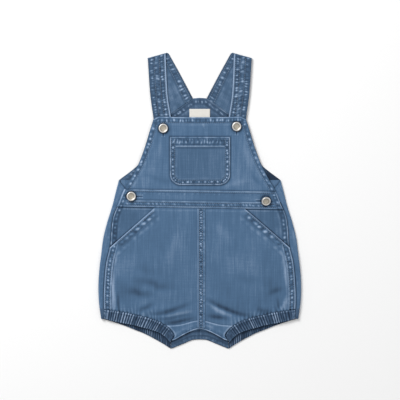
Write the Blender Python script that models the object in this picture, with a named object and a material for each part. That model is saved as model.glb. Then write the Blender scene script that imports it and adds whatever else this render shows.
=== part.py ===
"""A baby's denim dungaree romper, lying flat on its back with the front upward.

Every piece a maker would cut is one closed wall of cloth in its own object. Sizes are in
millimetres and MM turns them into metres. "across" is the distance from the centre front line
and "along" goes up the garment, so that a piece and its twin share one outline.
"""
import math
from collections import namedtuple

import bmesh
import bpy
import numpy as np
from mathutils import Matrix

MM = 0.001

Spot = namedtuple("Spot", "across along")
Swell = namedtuple("Swell", "across along half_width half_length height")
Fold = namedtuple("Fold", "x1 y1 x2 y2 width height")
Paint = namedtuple("Paint", "red green blue roughness metallic")

# Thickness of the cloth and the play between the layers
CLOTH = 1.2
DOUBLE_CLOTH = 1.8
STRAP_CLOTH = 1.5
BAND_CLOTH = 1.0
GAP = 0.3
HALF_SEAM = 0.17
HEM_SEAM = 0.4
WRAP_SEAM = 0.45

# Heights of the layers above the surface that the garment lies on
FRONT_BASE = 3.4
UNDER_FRONT = CLOTH + GAP
STRAP_AT_BIB = 1.6
STRAP_AT_FOLD = 2.1
LABEL_LEVEL = CLOTH + GAP

# Outer edge of the garment from the side corner down to the leg hem
SIDE_EDGE = [
    Spot(121.3, 30.0), Spot(125.3, 15.0), Spot(131.3, -9.0), Spot(138.8, -33.0),
    Spot(144.8, -57.0), Spot(147.9, -81.0), Spot(150.8, -105.0), Spot(152.2, -135.0),
    Spot(150.8, -159.0), Spot(148.0, -178.0),
]

# Side edge of the front, from the top of the bib down to the leg hem
FRONT_EDGE = [
    Spot(69.6, 120.8), Spot(74.6, 105.0), Spot(83.9, 75.0), Spot(93.7, 50.3),
    Spot(105.7, 28.0), Spot(112.6, 16.5), Spot(121.1, -4.0), Spot(129.8, -25.5),
    Spot(132.4, -43.5), Spot(134.2, -67.5), Spot(140.0, -91.5), Spot(143.4, -124.5),
    Spot(144.2, -150.0), Spot(143.8, -164.0),
]

# Front bib
BIB_TOP = [Spot(69.6, 120.8), Spot(61.5, 125.0)]
BIB_TOP_MIDDLE = 124.2

# Waistband, which falls a little towards the right
WAIST_TOP = 14.3
WAIST_BOTTOM = -11.9
WAIST_FALL = -0.016

# Hip pockets: the slanted mouth runs from the waistband to the side seam
MOUTH_TOP = Spot(67.5, -13.0)
MOUTH_END = Spot(134.4, -71.0)
MOUTH_BAND = 12.0
MOUTH_BAND_EDGE = 0.6
MOUTH_BAND_START = 3.0
MOUTH_BAND_STOP = 9.0
YOKE_TUCK = 8.0
YOKE_UNDER_WAIST = 3.0
YOKE_SLANT = 4.0
YOKE_PAST_MOUTH = 3.0
YOKE_CORNER = 2.5

# Button stands below the ends of the waistband
STAND_TOP = 16.0
STAND_INNER = 86.0
STAND_LOW = -6.7
WRAP_UNDER_FRONT = 3.0
WRAP_CORNER = Spot(112.9, 19.5)
WRAP_LEAVES = -4.0
WRAP_SHIFT = 2.0
LEAST_TURN = 0.4
LEVEL_WITH_FRONT = 15.0

# Front leg hem: where the casing is stitched, and its lower edge
FRONT_HEM_TOP = [
    Spot(143.4, -164.3), Spot(124.6, -166.5), Spot(105.1, -170.0), Spot(81.5, -175.5),
    Spot(65.3, -180.6), Spot(52.1, -187.4), Spot(43.6, -195.0), Spot(38.6, -203.4),
]
FRONT_HEM_LOW = [
    Spot(143.4, -177.6), Spot(132.7, -181.2), Spot(118.1, -184.2), Spot(100.1, -187.6),
    Spot(87.2, -191.0), Spot(70.9, -195.5), Spot(58.8, -200.2), Spot(50.3, -206.6),
    Spot(44.6, -213.4),
]
FRONT_GATHERS = 24
FRONT_GATHER_HEIGHT = 0.9

# Back leg hem
BACK_HEM_TOP = [
    Spot(149.6, -162.6), Spot(128.0, -168.6), Spot(112.0, -173.4), Spot(82.1, -185.2),
    Spot(60.0, -196.8), Spot(43.6, -206.8),
]
BACK_HEM_LOW = [
    Spot(146.4, -178.4), Spot(130.1, -183.0), Spot(112.1, -189.0), Spot(97.1, -195.0),
    Spot(82.1, -201.0), Spot(59.6, -213.0), Spot(43.4, -223.2),
]
BACK_GATHERS = 34
BACK_GATHER_HEIGHT = 0.8

# Crotch strips
FRONT_CROTCH_TOP = [Spot(50.6, -187.9), Spot(29.6, -186.2), Spot(8.2, -180.6), Spot(0.0, -180.2)]
FRONT_CROTCH_SIDE = [Spot(50.6, -187.9), Spot(42.8, -194.7), Spot(37.6, -203.1), Spot(42.2, -211.0)]
FRONT_CROTCH_LOW = [
    Spot(42.2, -211.0), Spot(36.6, -209.2), Spot(24.2, -202.2), Spot(10.9, -196.0),
    Spot(0.0, -193.0),
]
BACK_CROTCH_TOP = [Spot(43.1, -207.0), Spot(22.0, -200.0), Spot(0.0, -195.4)]
BACK_CROTCH_LOW = [
    Spot(42.9, -222.9), Spot(40.3, -222.3), Spot(24.2, -215.7), Spot(10.9, -210.3),
    Spot(0.0, -209.4),
]

# Back bib: from the strap seam round the armhole to the side corner
BACK_NECK = [Spot(10.4, 152.6), Spot(0.0, 153.4)]
STRAP_SEAM_END = Spot(46.5, 127.2)
ARMHOLE = [
    Spot(46.5, 127.2), Spot(57.6, 105.0), Spot(74.6, 75.0), Spot(94.5, 51.0),
    Spot(121.1, 30.4),
]
BACK_WAIST = 30.0

# Shoulder straps
STRAP_FRONT_OUTER = [Spot(66.3, 90.0), Spot(69.6, 123.0), Spot(74.4, 159.0), Spot(78.4, 213.0)]
STRAP_FRONT_INNER = [Spot(40.4, 90.0), Spot(43.4, 124.5), Spot(48.6, 160.0), Spot(51.7, 219.8)]
STRAP_BACK_OUTER = [Spot(78.4, 213.0), Spot(62.0, 174.6), Spot(46.9, 127.5)]
STRAP_BACK_INNER = [Spot(47.2, 221.6), Spot(29.6, 189.0), Spot(10.6, 153.0)]

# Bib pocket and label
POCKET_MIDDLE = 0.5
POCKET_HALF = 45.0
POCKET_TOP = 94.5
POCKET_LOW = 22.5
POCKET_CORNER = 16.0
LABEL_HALF = 15.5
LABEL_TOP = 136.7
LABEL_LOW = 117.0

# Felled seams that stand on the front
CENTRE_SEAM_LEFT = -3.4
CENTRE_SEAM_RIGHT = 7.9
SIDE_SEAM_WIDTH = 11.0
SIDE_SEAM_START = 9.0
SIDE_SEAM_INSET = 0.5

# Buttons: name, place, the way the buttonhole runs, its length and the tilt of the cap
Button = namedtuple("Button", "name x y slit_x slit_y slit_length tilt cloth")
BUTTONS = [
    Button("button_bib_left", -54.7, 107.4, 0.0, -1.0, 12.0, 0.0, CLOTH),
    Button("button_bib_right", 55.3, 110.1, 0.0, -1.0, 12.0, 0.0, CLOTH),
    Button("button_side_left", -102.7, 5.4, 1.0, 0.0, 17.0, 0.0, DOUBLE_CLOTH),
    Button("button_side_right", 99.2, -1.4, -1.0, 0.0, 15.0, 14.0, DOUBLE_CLOTH),
]
BUTTON_PROFILE = [
    (0.0, 1.5), (4.0, 1.5), (4.6, 2.4), (5.6, 2.7), (6.6, 2.1), (7.0, 1.2), (6.3, 0.3), (5.2, 0.0),
]
BUTTON_SIDES = 16
SHANK_RADIUS = 1.2
EYE_RADIUS = 1.9
SLIT_WIDTH = 1.0
CUT_PAST = 1.0

# Broad swells of the front layer, the same on both sides
SWELLS = [
    Swell(70.0, -95.0, 42.0, 55.0, 1.4),
    Swell(95.0, -190.0, 70.0, 26.0, -0.6),
    Swell(150.0, -125.0, 16.0, 45.0, -0.6),
    Swell(0.0, 58.0, 48.0, 34.0, -0.5),
    Swell(0.0, -200.0, 46.0, 16.0, -0.4),
]

# Largest folds of the front legs, as ridges and troughs between two points
FOLDS = [
    Fold(-80.0, -166.0, -14.0, -163.0, 7.0, 0.9),
    Fold(-84.0, -176.0, -18.0, -174.0, 6.0, -0.6),
    Fold(-112.0, -127.0, -26.0, -146.0, 11.0, 0.6),
    Fold(18.0, -146.0, 84.0, -166.0, 7.0, 0.9),
    Fold(18.0, -157.0, 78.0, -176.0, 6.5, -0.7),
    Fold(92.0, -157.0, 120.0, -164.0, 7.0, -0.5),
    Fold(-118.0, -146.0, -120.0, -164.0, 6.0, 0.5),
    Fold(30.0, -60.0, 100.0, -110.0, 14.0, 0.4),
    Fold(-40.0, -40.0, -60.0, -110.0, 15.0, 0.4),
]
FOLD_FREE_OF_SEAM = (6.0, 22.0)

# How finely the pieces are divided
ROLL_STEPS = 5
CURVE_PARTS = 16
WAIST_STEPS = 8
MOUTH_STEPS = 12
HEM_STEPS = 16
HEM_STEPS_ON_LEG = 13
LEG_ROWS = 11
SHARP_ANGLE = 40.0

# Finishes: washed denim in the shades of each part, woven ribbon and dull silver metal
DENIM = Paint(0.083, 0.158, 0.268, 0.9, 0.0)
DENIM_DARK = Paint(0.066, 0.130, 0.226, 0.92, 0.0)
DENIM_WORN = Paint(0.110, 0.190, 0.300, 0.9, 0.0)
RIBBON = Paint(0.80, 0.77, 0.68, 0.7, 0.0)
METAL = Paint(0.62, 0.61, 0.58, 0.35, 0.9)


def clear_scene():
    for item in list(bpy.data.objects):
        bpy.data.objects.remove(item, do_unlink=True)


def make_material(name, paint):
    material = bpy.data.materials.new(name)
    material.use_nodes = True
    shader = material.node_tree.nodes["Principled BSDF"]
    shader.inputs["Base Color"].default_value = (paint.red, paint.green, paint.blue, 1.0)
    shader.inputs["Roughness"].default_value = paint.roughness
    shader.inputs["Metallic"].default_value = paint.metallic
    return material


def smooth_step(value, low, high):
    """0 below low, 1 above high and a soft ramp between them."""
    share = np.clip((value - low) / (high - low), 0.0, 1.0)
    return share * share * (3.0 - 2.0 * share)


def half_width(table, along):
    """Half width at a height, on a smooth curve through the rows of a table."""
    rows = sorted(table, key=lambda spot: spot.along)
    heights = np.array([spot.along for spot in rows])
    widths = np.array([spot.across for spot in rows])
    slopes = np.gradient(widths, heights)
    along = np.clip(along, heights[0], heights[-1])
    row = np.clip(np.searchsorted(heights, along) - 1, 0, len(rows) - 2)
    span = heights[row + 1] - heights[row]
    share = (along - heights[row]) / span
    square = share * share
    cube = square * share
    start = (2.0 * cube - 3.0 * square + 1.0) * widths[row]
    leave = (cube - 2.0 * square + share) * span * slopes[row]
    finish = (3.0 * square - 2.0 * cube) * widths[row + 1]
    arrive = (cube - square) * span * slopes[row + 1]
    return start + leave + finish + arrive


def curve_points(spots, count):
    """Count steps of even length along a smooth curve through a few spots."""
    fixed = np.array([tuple(spot)[:2] for spot in spots], dtype=float)
    before = 2.0 * fixed[0] - fixed[1]
    after = 2.0 * fixed[-1] - fixed[-2]
    padded = np.vstack([before, fixed, after])
    fine = []
    for index in range(1, len(padded) - 2):
        for share in np.linspace(0.0, 1.0, CURVE_PARTS + 1)[:-1]:
            square = share * share
            cube = square * share
            fine.append(0.5 * (
                2.0 * padded[index]
                + (padded[index + 1] - padded[index - 1]) * share
                + (2.0 * padded[index - 1] - 5.0 * padded[index]
                   + 4.0 * padded[index + 1] - padded[index + 2]) * square
                + (3.0 * padded[index] - padded[index - 1]
                   - 3.0 * padded[index + 1] + padded[index + 2]) * cube
            ))
    fine.append(fixed[-1])
    fine = np.array(fine)
    steps = np.linalg.norm(np.diff(fine, axis=0), axis=1)
    reach = np.concatenate([[0.0], np.cumsum(steps)])
    wanted = np.linspace(0.0, reach[-1], count + 1)
    return np.column_stack([np.interp(wanted, reach, fine[:, 0]), np.interp(wanted, reach, fine[:, 1])])


def joined(*stretches):
    """One edge from several stretches whose ends meet."""
    parts = [stretches[0]]
    parts.extend(stretch[1:] for stretch in stretches[1:])
    return np.vstack(parts)


def turned_over(points):
    """The same points on the other side of the centre line."""
    return points * np.array([-1.0, 1.0])


def shifted(points, across, along):
    return points + np.array([across, along])


def filled(top, bottom, left, right):
    """Rows of points that fill four edges: top and bottom from left to right, sides downward."""
    u = np.linspace(0.0, 1.0, len(top))[None, :, None]
    v = np.linspace(0.0, 1.0, len(left))[:, None, None]
    ruled = (1.0 - v) * top[None] + v * bottom[None] + (1.0 - u) * left[:, None] + u * right[:, None]
    corners = (
        (1.0 - u) * (1.0 - v) * top[0] + u * (1.0 - v) * top[-1]
        + (1.0 - u) * v * bottom[0] + u * v * bottom[-1]
    )
    return ruled - corners


def front_level(x, y):
    """Height of the underside of the front layer: swells on both sides, then the folds."""
    level = FRONT_BASE + 0.0 * x
    for swell in SWELLS:
        sideways = (np.abs(x) - swell.across) / swell.half_width
        lengthways = (y - swell.along) / swell.half_length
        level = level + swell.height * np.exp(-sideways ** 2 - lengthways ** 2)
    folds = 0.0 * x
    for fold in FOLDS:
        run_x = fold.x2 - fold.x1
        run_y = fold.y2 - fold.y1
        length = math.hypot(run_x, run_y)
        share = np.clip(((x - fold.x1) * run_x + (y - fold.y1) * run_y) / length ** 2, 0.0, 1.0)
        away = np.hypot(x - fold.x1 - share * run_x, y - fold.y1 - share * run_y)
        folds = folds + fold.height * np.exp(-(away / fold.width) ** 2)
    return level + folds * smooth_step(np.abs(x), *FOLD_FREE_OF_SEAM)


def waist_line(height, x):
    """A line across the waist at one height, falling a little to the right."""
    return np.column_stack([x, height + WAIST_FALL * x])


def wall(name, under, over, paint):
    """One closed wall between two sheets of points, each rows by columns by three."""
    rows, columns = under.shape[:2]
    mesh = bpy.data.meshes.new(name)
    shape = bmesh.new()
    low = [[shape.verts.new(point) for point in row] for row in (under * MM).tolist()]
    high = [[shape.verts.new(point) for point in row] for row in (over * MM).tolist()]
    for r in range(rows - 1):
        for c in range(columns - 1):
            shape.faces.new((high[r][c], high[r + 1][c], high[r + 1][c + 1], high[r][c + 1]))
            shape.faces.new((low[r][c], low[r][c + 1], low[r + 1][c + 1], low[r + 1][c]))
    for r in range(rows - 1):
        shape.faces.new((high[r][0], low[r][0], low[r + 1][0], high[r + 1][0]))
        shape.faces.new((high[r][-1], high[r + 1][-1], low[r + 1][-1], low[r][-1]))
    for c in range(columns - 1):
        shape.faces.new((high[0][c], high[0][c + 1], low[0][c + 1], low[0][c]))
        shape.faces.new((high[-1][c], low[-1][c], low[-1][c + 1], high[-1][c + 1]))
    bmesh.ops.recalc_face_normals(shape, faces=shape.faces)
    return finish(name, mesh, shape, paint)


def finish(name, mesh, shape, paint):
    shape.to_mesh(mesh)
    shape.free()
    mesh.shade_smooth()
    mesh.set_sharp_from_angle(angle=math.radians(SHARP_ANGLE))
    mesh.materials.append(make_material(name, paint))
    item = bpy.data.objects.new(name, mesh)
    bpy.context.scene.collection.objects.link(item)
    return item


def sheet(points, height):
    """Points in plan with their heights, as rows by columns by three."""
    return np.dstack([points[:, :, 0], points[:, :, 1], np.broadcast_to(height, points.shape[:2])])


def on_front(name, points, rise, thickness, paint, relief=0.0):
    """A panel of the front layer, or one that lies rise above it."""
    under = front_level(points[:, :, 0], points[:, :, 1]) + rise
    return wall(name, sheet(points, under), sheet(points, under + thickness + relief), paint)


def on_surface(name, points, thickness, paint):
    """A panel of the back layer, flat on what the garment lies on."""
    return wall(name, sheet(points, 0.0), sheet(points, thickness), paint)


def make_back_bib():
    neck = curve_points([BACK_NECK[0], BACK_NECK[1], Spot(-BACK_NECK[0].across, BACK_NECK[0].along)], 4)
    seam = curve_points([STRAP_SEAM_END, BACK_NECK[0]], 3)
    top = joined(turned_over(seam), neck[::-1], seam[::-1])
    armhole = curve_points(ARMHOLE, 12)
    across = np.linspace(-ARMHOLE[-1].across, ARMHOLE[-1].across, len(top))
    bottom = np.column_stack([across, np.full(len(top), ARMHOLE[-1].along)])
    points = filled(top, bottom, turned_over(armhole), armhole)
    return on_surface("back_bib", points, CLOTH, DENIM_DARK)


def wrap_end(along):
    """Where the part of the back that is turned to the front ends."""
    at_seam = half_width(FRONT_EDGE, along) + WRAP_SEAM
    tucked = half_width(FRONT_EDGE, along) - WRAP_UNDER_FRONT
    end = at_seam + (tucked - at_seam) * smooth_step(along, WRAP_LEAVES, WRAP_LEAVES + WRAP_SHIFT)
    slope = (WRAP_CORNER.across - SIDE_EDGE[0].across) / (WRAP_CORNER.along - BACK_WAIST)
    corner = SIDE_EDGE[0].across + (along - BACK_WAIST) * slope
    return np.maximum(end, corner)


def wrap_level(along):
    """Underside of that part: below the waistband and hip piece, then level with the front leg."""
    edge = half_width(FRONT_EDGE, along)
    drop = UNDER_FRONT * smooth_step(along, MOUTH_END.along - LEVEL_WITH_FRONT, MOUTH_END.along - 1.0)
    return front_level(edge, along) - drop


def wrapped(flat, side, turned_columns):
    """Under and over sheets of a back piece whose side edge is rolled round to the front."""
    outer_rows = []
    inner_rows = []
    for row in flat:
        along = row[-1, 1]
        level = wrap_level(along)
        middle = level / 2.0
        centre_x = half_width(SIDE_EDGE, along) - middle - CLOTH / 2.0
        centre_z = middle + CLOTH / 2.0
        outer = [(x, y, 0.0) for x, y in row]
        inner = [(x, y, CLOTH) for x, y in row]
        for step in range(1, ROLL_STEPS + 1):
            angle = math.pi * (step / ROLL_STEPS - 0.5)
            for rim, radius in ((outer, middle + CLOTH / 2.0), (inner, middle - CLOTH / 2.0)):
                rim.append((centre_x + radius * math.cos(angle), along, centre_z + radius * math.sin(angle)))
        end = min(wrap_end(along), centre_x - LEAST_TURN)
        for step in range(1, turned_columns + 1):
            x = centre_x + (end - centre_x) * step / turned_columns
            outer.append((x, along, level + CLOTH))
            inner.append((x, along, level))
        outer_rows.append(outer)
        inner_rows.append(inner)
    mirror = np.array([side, 1.0, 1.0])
    return np.array(outer_rows) * mirror, np.array(inner_rows) * mirror


def roll_start(along):
    """Where the flat part of the back ends and the roll round the side begins."""
    return half_width(SIDE_EDGE, along) - wrap_level(along) / 2.0 - CLOTH / 2.0


def make_back_leg(name, side):
    side_along = np.concatenate([
        [BACK_WAIST - HALF_SEAM, (BACK_WAIST + WRAP_CORNER.along) / 2.0, WRAP_CORNER.along],
        np.linspace(WRAP_CORNER.along, WRAP_LEAVES + WRAP_SHIFT, 3)[1:],
        np.linspace(WRAP_LEAVES, MOUTH_END.along, 5),
        np.linspace(MOUTH_END.along, BACK_HEM_TOP[0].along, 8)[1:],
    ])
    side_edge = np.column_stack([roll_start(side_along), side_along])
    crotch = shifted(curve_points(BACK_CROTCH_TOP, 3)[::-1], 0.0, HEM_SEAM)
    crotch[0, 0] = HALF_SEAM
    casing = shifted(curve_points([Spot(*side_edge[-1])] + BACK_HEM_TOP[1:], 6), 0.0, HEM_SEAM)
    casing[0] = side_edge[-1]
    crotch[-1] = casing[-1]
    bottom = joined(crotch, casing[::-1])
    across = np.linspace(HALF_SEAM, side_edge[0, 0], len(bottom))
    top = np.column_stack([across, np.full(len(bottom), side_along[0])])
    share = (side_along - side_along[0]) / (side_along[-1] - side_along[0])
    centre = np.column_stack([np.full(len(share), HALF_SEAM), top[0, 1] + (bottom[0, 1] - top[0, 1]) * share])
    flat = filled(top, bottom, centre, side_edge)
    outer, inner = wrapped(flat, side, 2)
    return wall(name, outer, inner, DENIM)


def make_back_leg_hem(name, side):
    steps = BACK_GATHERS * 2
    side_along = np.linspace(BACK_HEM_TOP[0].along - HEM_SEAM, BACK_HEM_LOW[0].along, 3)
    side_edge = np.column_stack([roll_start(side_along), side_along])
    top = curve_points([Spot(*side_edge[0])] + BACK_HEM_TOP[1:], steps)[::-1]
    low = curve_points([Spot(*side_edge[-1])] + BACK_HEM_LOW[1:], steps)[::-1]
    inner_end = np.linspace(top[0], low[0], 3)
    flat = filled(top, low, inner_end, side_edge)
    outer, inner = wrapped(flat, side, 1)
    ridge = 0.5 - 0.5 * np.cos(math.pi * np.arange(steps + 1))
    fade = np.clip((steps - np.arange(steps + 1)) / 4.0, 0.0, 1.0)
    across_band = np.array([0.5, 1.0, 0.6])[:, None]
    inner[:, :steps + 1, 2] += BACK_GATHER_HEIGHT * ridge * fade * across_band
    return wall(name, outer, inner, DENIM_DARK)


def both_sides(spots, half_steps):
    """A curve from the left end to the centre line, and on to the right end."""
    half = curve_points(spots, half_steps)
    return joined(turned_over(half), half[::-1])


def make_back_crotch():
    top = both_sides(BACK_CROTCH_TOP, 6)
    low = both_sides(BACK_CROTCH_LOW, 6)
    left = np.linspace(top[0], low[0], 4)
    right = np.linspace(top[-1], low[-1], 4)
    return on_surface("back_crotch", filled(top, low, left, right), DOUBLE_CLOTH, DENIM_DARK)


def make_label():
    across = np.linspace(-LABEL_HALF, LABEL_HALF, 7)
    along = np.linspace(LABEL_TOP, LABEL_LOW, 4)
    points = np.dstack(np.meshgrid(across, along))
    return wall("label", sheet(points, LABEL_LEVEL), sheet(points, LABEL_LEVEL + BAND_CLOTH), RIBBON)


def strap_level(along):
    """Underside of the front run of a strap, lower where it goes behind the bib."""
    share = (along - STRAP_FRONT_OUTER[0].along) / (STRAP_FRONT_OUTER[-1].along - STRAP_FRONT_OUTER[0].along)
    return STRAP_AT_BIB + (STRAP_AT_FOLD - STRAP_AT_BIB) * share


def make_strap(name, side):
    columns = 5
    front_steps = 14
    back_steps = 9
    roll_steps = 6
    fold_outer = np.array(STRAP_FRONT_OUTER[-1])
    fold_back = np.array(STRAP_BACK_INNER[0])
    run = (fold_back - fold_outer) / np.linalg.norm(fold_back - fold_outer)
    away = np.array([-run[1], run[0]]) * np.sign(run[0])
    roll_radius = (STRAP_AT_FOLD + STRAP_CLOTH) / 2.0
    roll_middle = STRAP_AT_FOLD / 2.0
    fold_front = fold_outer + run * np.dot(np.array(STRAP_FRONT_INNER[-1]) - fold_outer, run)
    pulled_in = away * roll_radius
    outer_rows = []
    inner_rows = []

    def add(start, end, shift_out, shift_in, out_z, in_z):
        line = np.linspace(start, end, columns)
        outer_rows.append(np.column_stack([line + shift_out, np.full(columns, out_z)]))
        inner_rows.append(np.column_stack([line + shift_in, np.full(columns, in_z)]))

    outer_edge = curve_points(STRAP_FRONT_OUTER[:-1] + [Spot(*(fold_outer - pulled_in))], front_steps)
    inner_edge = curve_points(STRAP_FRONT_INNER[:-1] + [Spot(*(fold_front - pulled_in))], front_steps)
    for step in range(front_steps + 1):
        level = STRAP_AT_BIB + (STRAP_AT_FOLD - STRAP_AT_BIB) * step / front_steps
        add(outer_edge[step], inner_edge[step], 0.0, 0.0, level + STRAP_CLOTH, level)
    for step in range(1, roll_steps):
        share = step / roll_steps
        angle = math.pi * (0.5 - share)
        end = fold_front + (fold_back - fold_front) * share - pulled_in
        out = roll_middle + STRAP_CLOTH / 2.0
        into = roll_middle - STRAP_CLOTH / 2.0
        add(fold_outer - pulled_in, end, away * out * math.cos(angle), away * into * math.cos(angle),
            roll_radius + out * math.sin(angle), roll_radius + into * math.sin(angle))
    outer_edge = curve_points([Spot(*(fold_outer - pulled_in))] + STRAP_BACK_OUTER[1:], back_steps)
    inner_edge = curve_points([Spot(*(fold_back - pulled_in))] + STRAP_BACK_INNER[1:], back_steps)
    for step in range(back_steps + 1):
        add(outer_edge[step], inner_edge[step], 0.0, 0.0, 0.0, STRAP_CLOTH)
    mirror = np.array([side, 1.0, 1.0])
    return wall(name, np.array(outer_rows) * mirror, np.array(inner_rows) * mirror, DENIM_WORN)


def make_front_bib():
    corner = curve_points(BIB_TOP, 2)
    brow = np.column_stack([np.linspace(-BIB_TOP[1].across, BIB_TOP[1].across, 11), np.zeros(11)])
    brow[:, 1] = BIB_TOP_MIDDLE + (BIB_TOP[1].along - BIB_TOP_MIDDLE) * (brow[:, 0] / BIB_TOP[1].across) ** 2
    top = joined(turned_over(corner), brow, corner[::-1])
    low_height = WAIST_TOP + HALF_SEAM
    low_half = half_width(FRONT_EDGE, low_height)
    bottom = waist_line(low_height, np.linspace(-low_half, low_half, len(top)))
    sides = []
    for end in (bottom[0, 1], bottom[-1, 1]):
        along = np.linspace(BIB_TOP[0].along, end, 10)
        sides.append(np.column_stack([half_width(FRONT_EDGE, along), along]))
    points = filled(top, bottom, turned_over(sides[0]), sides[1])
    return on_front("front_bib", points, 0.0, CLOTH, DENIM)


def make_bib_pocket():
    """A patch with a straight top and two round lower corners, in even columns."""
    columns = np.linspace(-POCKET_HALF, POCKET_HALF, 13)
    rows = 8
    points = np.zeros((rows, len(columns), 2))
    flat_half = POCKET_HALF - POCKET_CORNER
    for c, x in enumerate(columns):
        into = max(abs(x) - flat_half, 0.0)
        lift = POCKET_CORNER - math.sqrt(max(POCKET_CORNER ** 2 - into ** 2, 0.0))
        points[:, c, 0] = POCKET_MIDDLE + x
        points[:, c, 1] = np.linspace(POCKET_TOP, POCKET_LOW + lift, rows)
    return on_front("bib_pocket", points, CLOTH + GAP, CLOTH, DENIM_DARK)


def make_waistband():
    columns = 19
    lines = []
    for height in np.linspace(WAIST_TOP - HALF_SEAM, WAIST_BOTTOM + HALF_SEAM, 4):
        half = half_width(FRONT_EDGE, height)
        lines.append(waist_line(height, np.linspace(-half, half, columns)))
    return on_front("waistband", np.array(lines), 0.0, DOUBLE_CLOTH, DENIM)


def make_side_placket(name, side):
    rows = []
    for height in np.linspace(STAND_TOP, STAND_LOW, 5):
        outer = half_width(FRONT_EDGE, height) - WRAP_UNDER_FRONT - WRAP_SEAM
        across = np.linspace(STAND_INNER, outer, 5)
        rows.append(np.column_stack([across * side, np.full(5, height)]))
    return on_front(name, np.array(rows), -UNDER_FRONT, CLOTH, DENIM)


def mouth_frame():
    """Start, length and direction of a pocket mouth, and the direction below it."""
    start = np.array(MOUTH_TOP)
    run = np.array(MOUTH_END) - start
    length = np.linalg.norm(run)
    run = run / length
    below = np.array([run[1], -run[0]])
    return start, length, run, below


def make_hip_yoke(name, side):
    """The hip piece: tucked under the waistband above and under the pocket mouth below."""
    start, _, _, below = mouth_frame()
    top_height = WAIST_BOTTOM + YOKE_UNDER_WAIST
    inner = start + below * YOKE_TUCK
    outer_top = half_width(FRONT_EDGE, top_height) - HALF_SEAM
    inner_top = np.array([inner[0] - YOKE_SLANT, top_height + WAIST_FALL * side * inner[0]])
    outer_top = np.array([outer_top, top_height + WAIST_FALL * side * outer_top])
    top = np.linspace(inner_top, outer_top, 10)
    outer_along = np.linspace(outer_top[1], MOUTH_END.along - YOKE_PAST_MOUTH, 7)
    outer = np.column_stack([half_width(FRONT_EDGE, outer_along) - HALF_SEAM, outer_along])
    outer[-1, 0] = outer[-2, 0] - YOKE_CORNER
    low = np.linspace(inner, outer[-1], 10)
    inner_side = np.linspace(inner_top, inner, 7)
    points = filled(top, low, inner_side, outer) * np.array([side, 1.0])
    return on_front(name, points, -UNDER_FRONT, CLOTH, DENIM_DARK)


def front_leg_points(side):
    """The plan of a front leg: waist and pocket mouth above, crotch seam and hem below."""
    across = np.linspace(HALF_SEAM, MOUTH_TOP.across, WAIST_STEPS + 1)
    waist = waist_line(WAIST_BOTTOM - HALF_SEAM, across * side) * np.array([side, 1.0])
    mouth = np.linspace(waist[-1], np.array(MOUTH_END), MOUTH_STEPS + 1)
    top = joined(waist, mouth)
    crotch = curve_points(FRONT_CROTCH_TOP[::-1], WAIST_STEPS + MOUTH_STEPS - HEM_STEPS_ON_LEG)
    crotch[:, 1] += HEM_SEAM
    crotch[0, 0] = HALF_SEAM
    hem = curve_points(FRONT_HEM_TOP, HEM_STEPS)[:HEM_STEPS_ON_LEG + 1][::-1]
    hem[:, 1] += HEM_SEAM
    low = joined(crotch, hem)
    centre = np.column_stack([np.full(LEG_ROWS, HALF_SEAM), np.linspace(top[0, 1], low[0, 1], LEG_ROWS)])
    side_along = np.linspace(top[-1, 1], low[-1, 1], LEG_ROWS)
    side_edge = np.column_stack([half_width(FRONT_EDGE, side_along) - HALF_SEAM, side_along])
    top[-1] = side_edge[0]
    low[-1] = side_edge[-1]
    return filled(top, low, centre, side_edge) * np.array([side, 1.0])


def make_front_leg(name, side):
    return on_front(name, front_leg_points(side), 0.0, CLOTH, DENIM)


def make_pocket_band(name, side):
    """The turned edge of the hip pocket's mouth, on the front leg."""
    start, length, run, below = mouth_frame()
    reach = np.linspace(MOUTH_BAND_START, length - MOUTH_BAND_STOP, 15)
    rows = []
    for drop in np.linspace(MOUTH_BAND_EDGE, MOUTH_BAND, 4):
        line = start + np.outer(reach, run) + below * drop
        rows.append(line * np.array([side, 1.0]))
    return on_front(name, np.array(rows), CLOTH + GAP, BAND_CLOTH, DENIM_WORN)


def make_side_seam(name, side):
    along = np.linspace(MOUTH_END.along - SIDE_SEAM_START, FRONT_HEM_TOP[0].along + 1.0, 11)
    edge = half_width(FRONT_EDGE, along) - HALF_SEAM - SIDE_SEAM_INSET
    rows = []
    for height, outer in zip(along, edge):
        across = np.linspace(outer - SIDE_SEAM_WIDTH, outer, 4)
        rows.append(np.column_stack([across * side, np.full(4, height)]))
    return on_front(name, np.array(rows), CLOTH + GAP, BAND_CLOTH, DENIM_WORN)


def make_centre_seam():
    along = np.linspace(WAIST_BOTTOM - 1.0, FRONT_CROTCH_LOW[-1].along + 1.5, 20)
    across = np.array([CENTRE_SEAM_LEFT, 0.0, CENTRE_SEAM_RIGHT / 2.0, CENTRE_SEAM_RIGHT])
    points = np.dstack(np.meshgrid(across, along))
    return on_front("centre_front_seam", points, CLOTH + GAP, BAND_CLOTH, DENIM_WORN)


def make_front_leg_hem(name, side):
    steps = FRONT_GATHERS * 4
    top = curve_points(FRONT_HEM_TOP, steps)
    low = curve_points(FRONT_HEM_LOW, steps)
    outer_end = np.linspace(top[0], low[0], 3)
    inner_end = np.linspace(top[-1], low[-1], 3)
    points = filled(top, low, outer_end, inner_end)
    ridge = 0.5 - 0.5 * np.cos(2.0 * math.pi * np.arange(steps + 1) / 4.0)
    across_band = np.array([0.45, 1.0, 0.4])[:, None]
    relief = FRONT_GATHER_HEIGHT * ridge * across_band
    return on_front(name, points * np.array([side, 1.0]), 0.0, CLOTH, DENIM_WORN, relief)


def make_front_crotch():
    top = both_sides(FRONT_CROTCH_TOP, 7)
    low = both_sides(FRONT_CROTCH_LOW, 7)
    right = curve_points(FRONT_CROTCH_SIDE, 5)
    points = filled(top, low, turned_over(right), right)
    return on_front("front_crotch", points, 0.0, CLOTH, DENIM)


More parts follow.
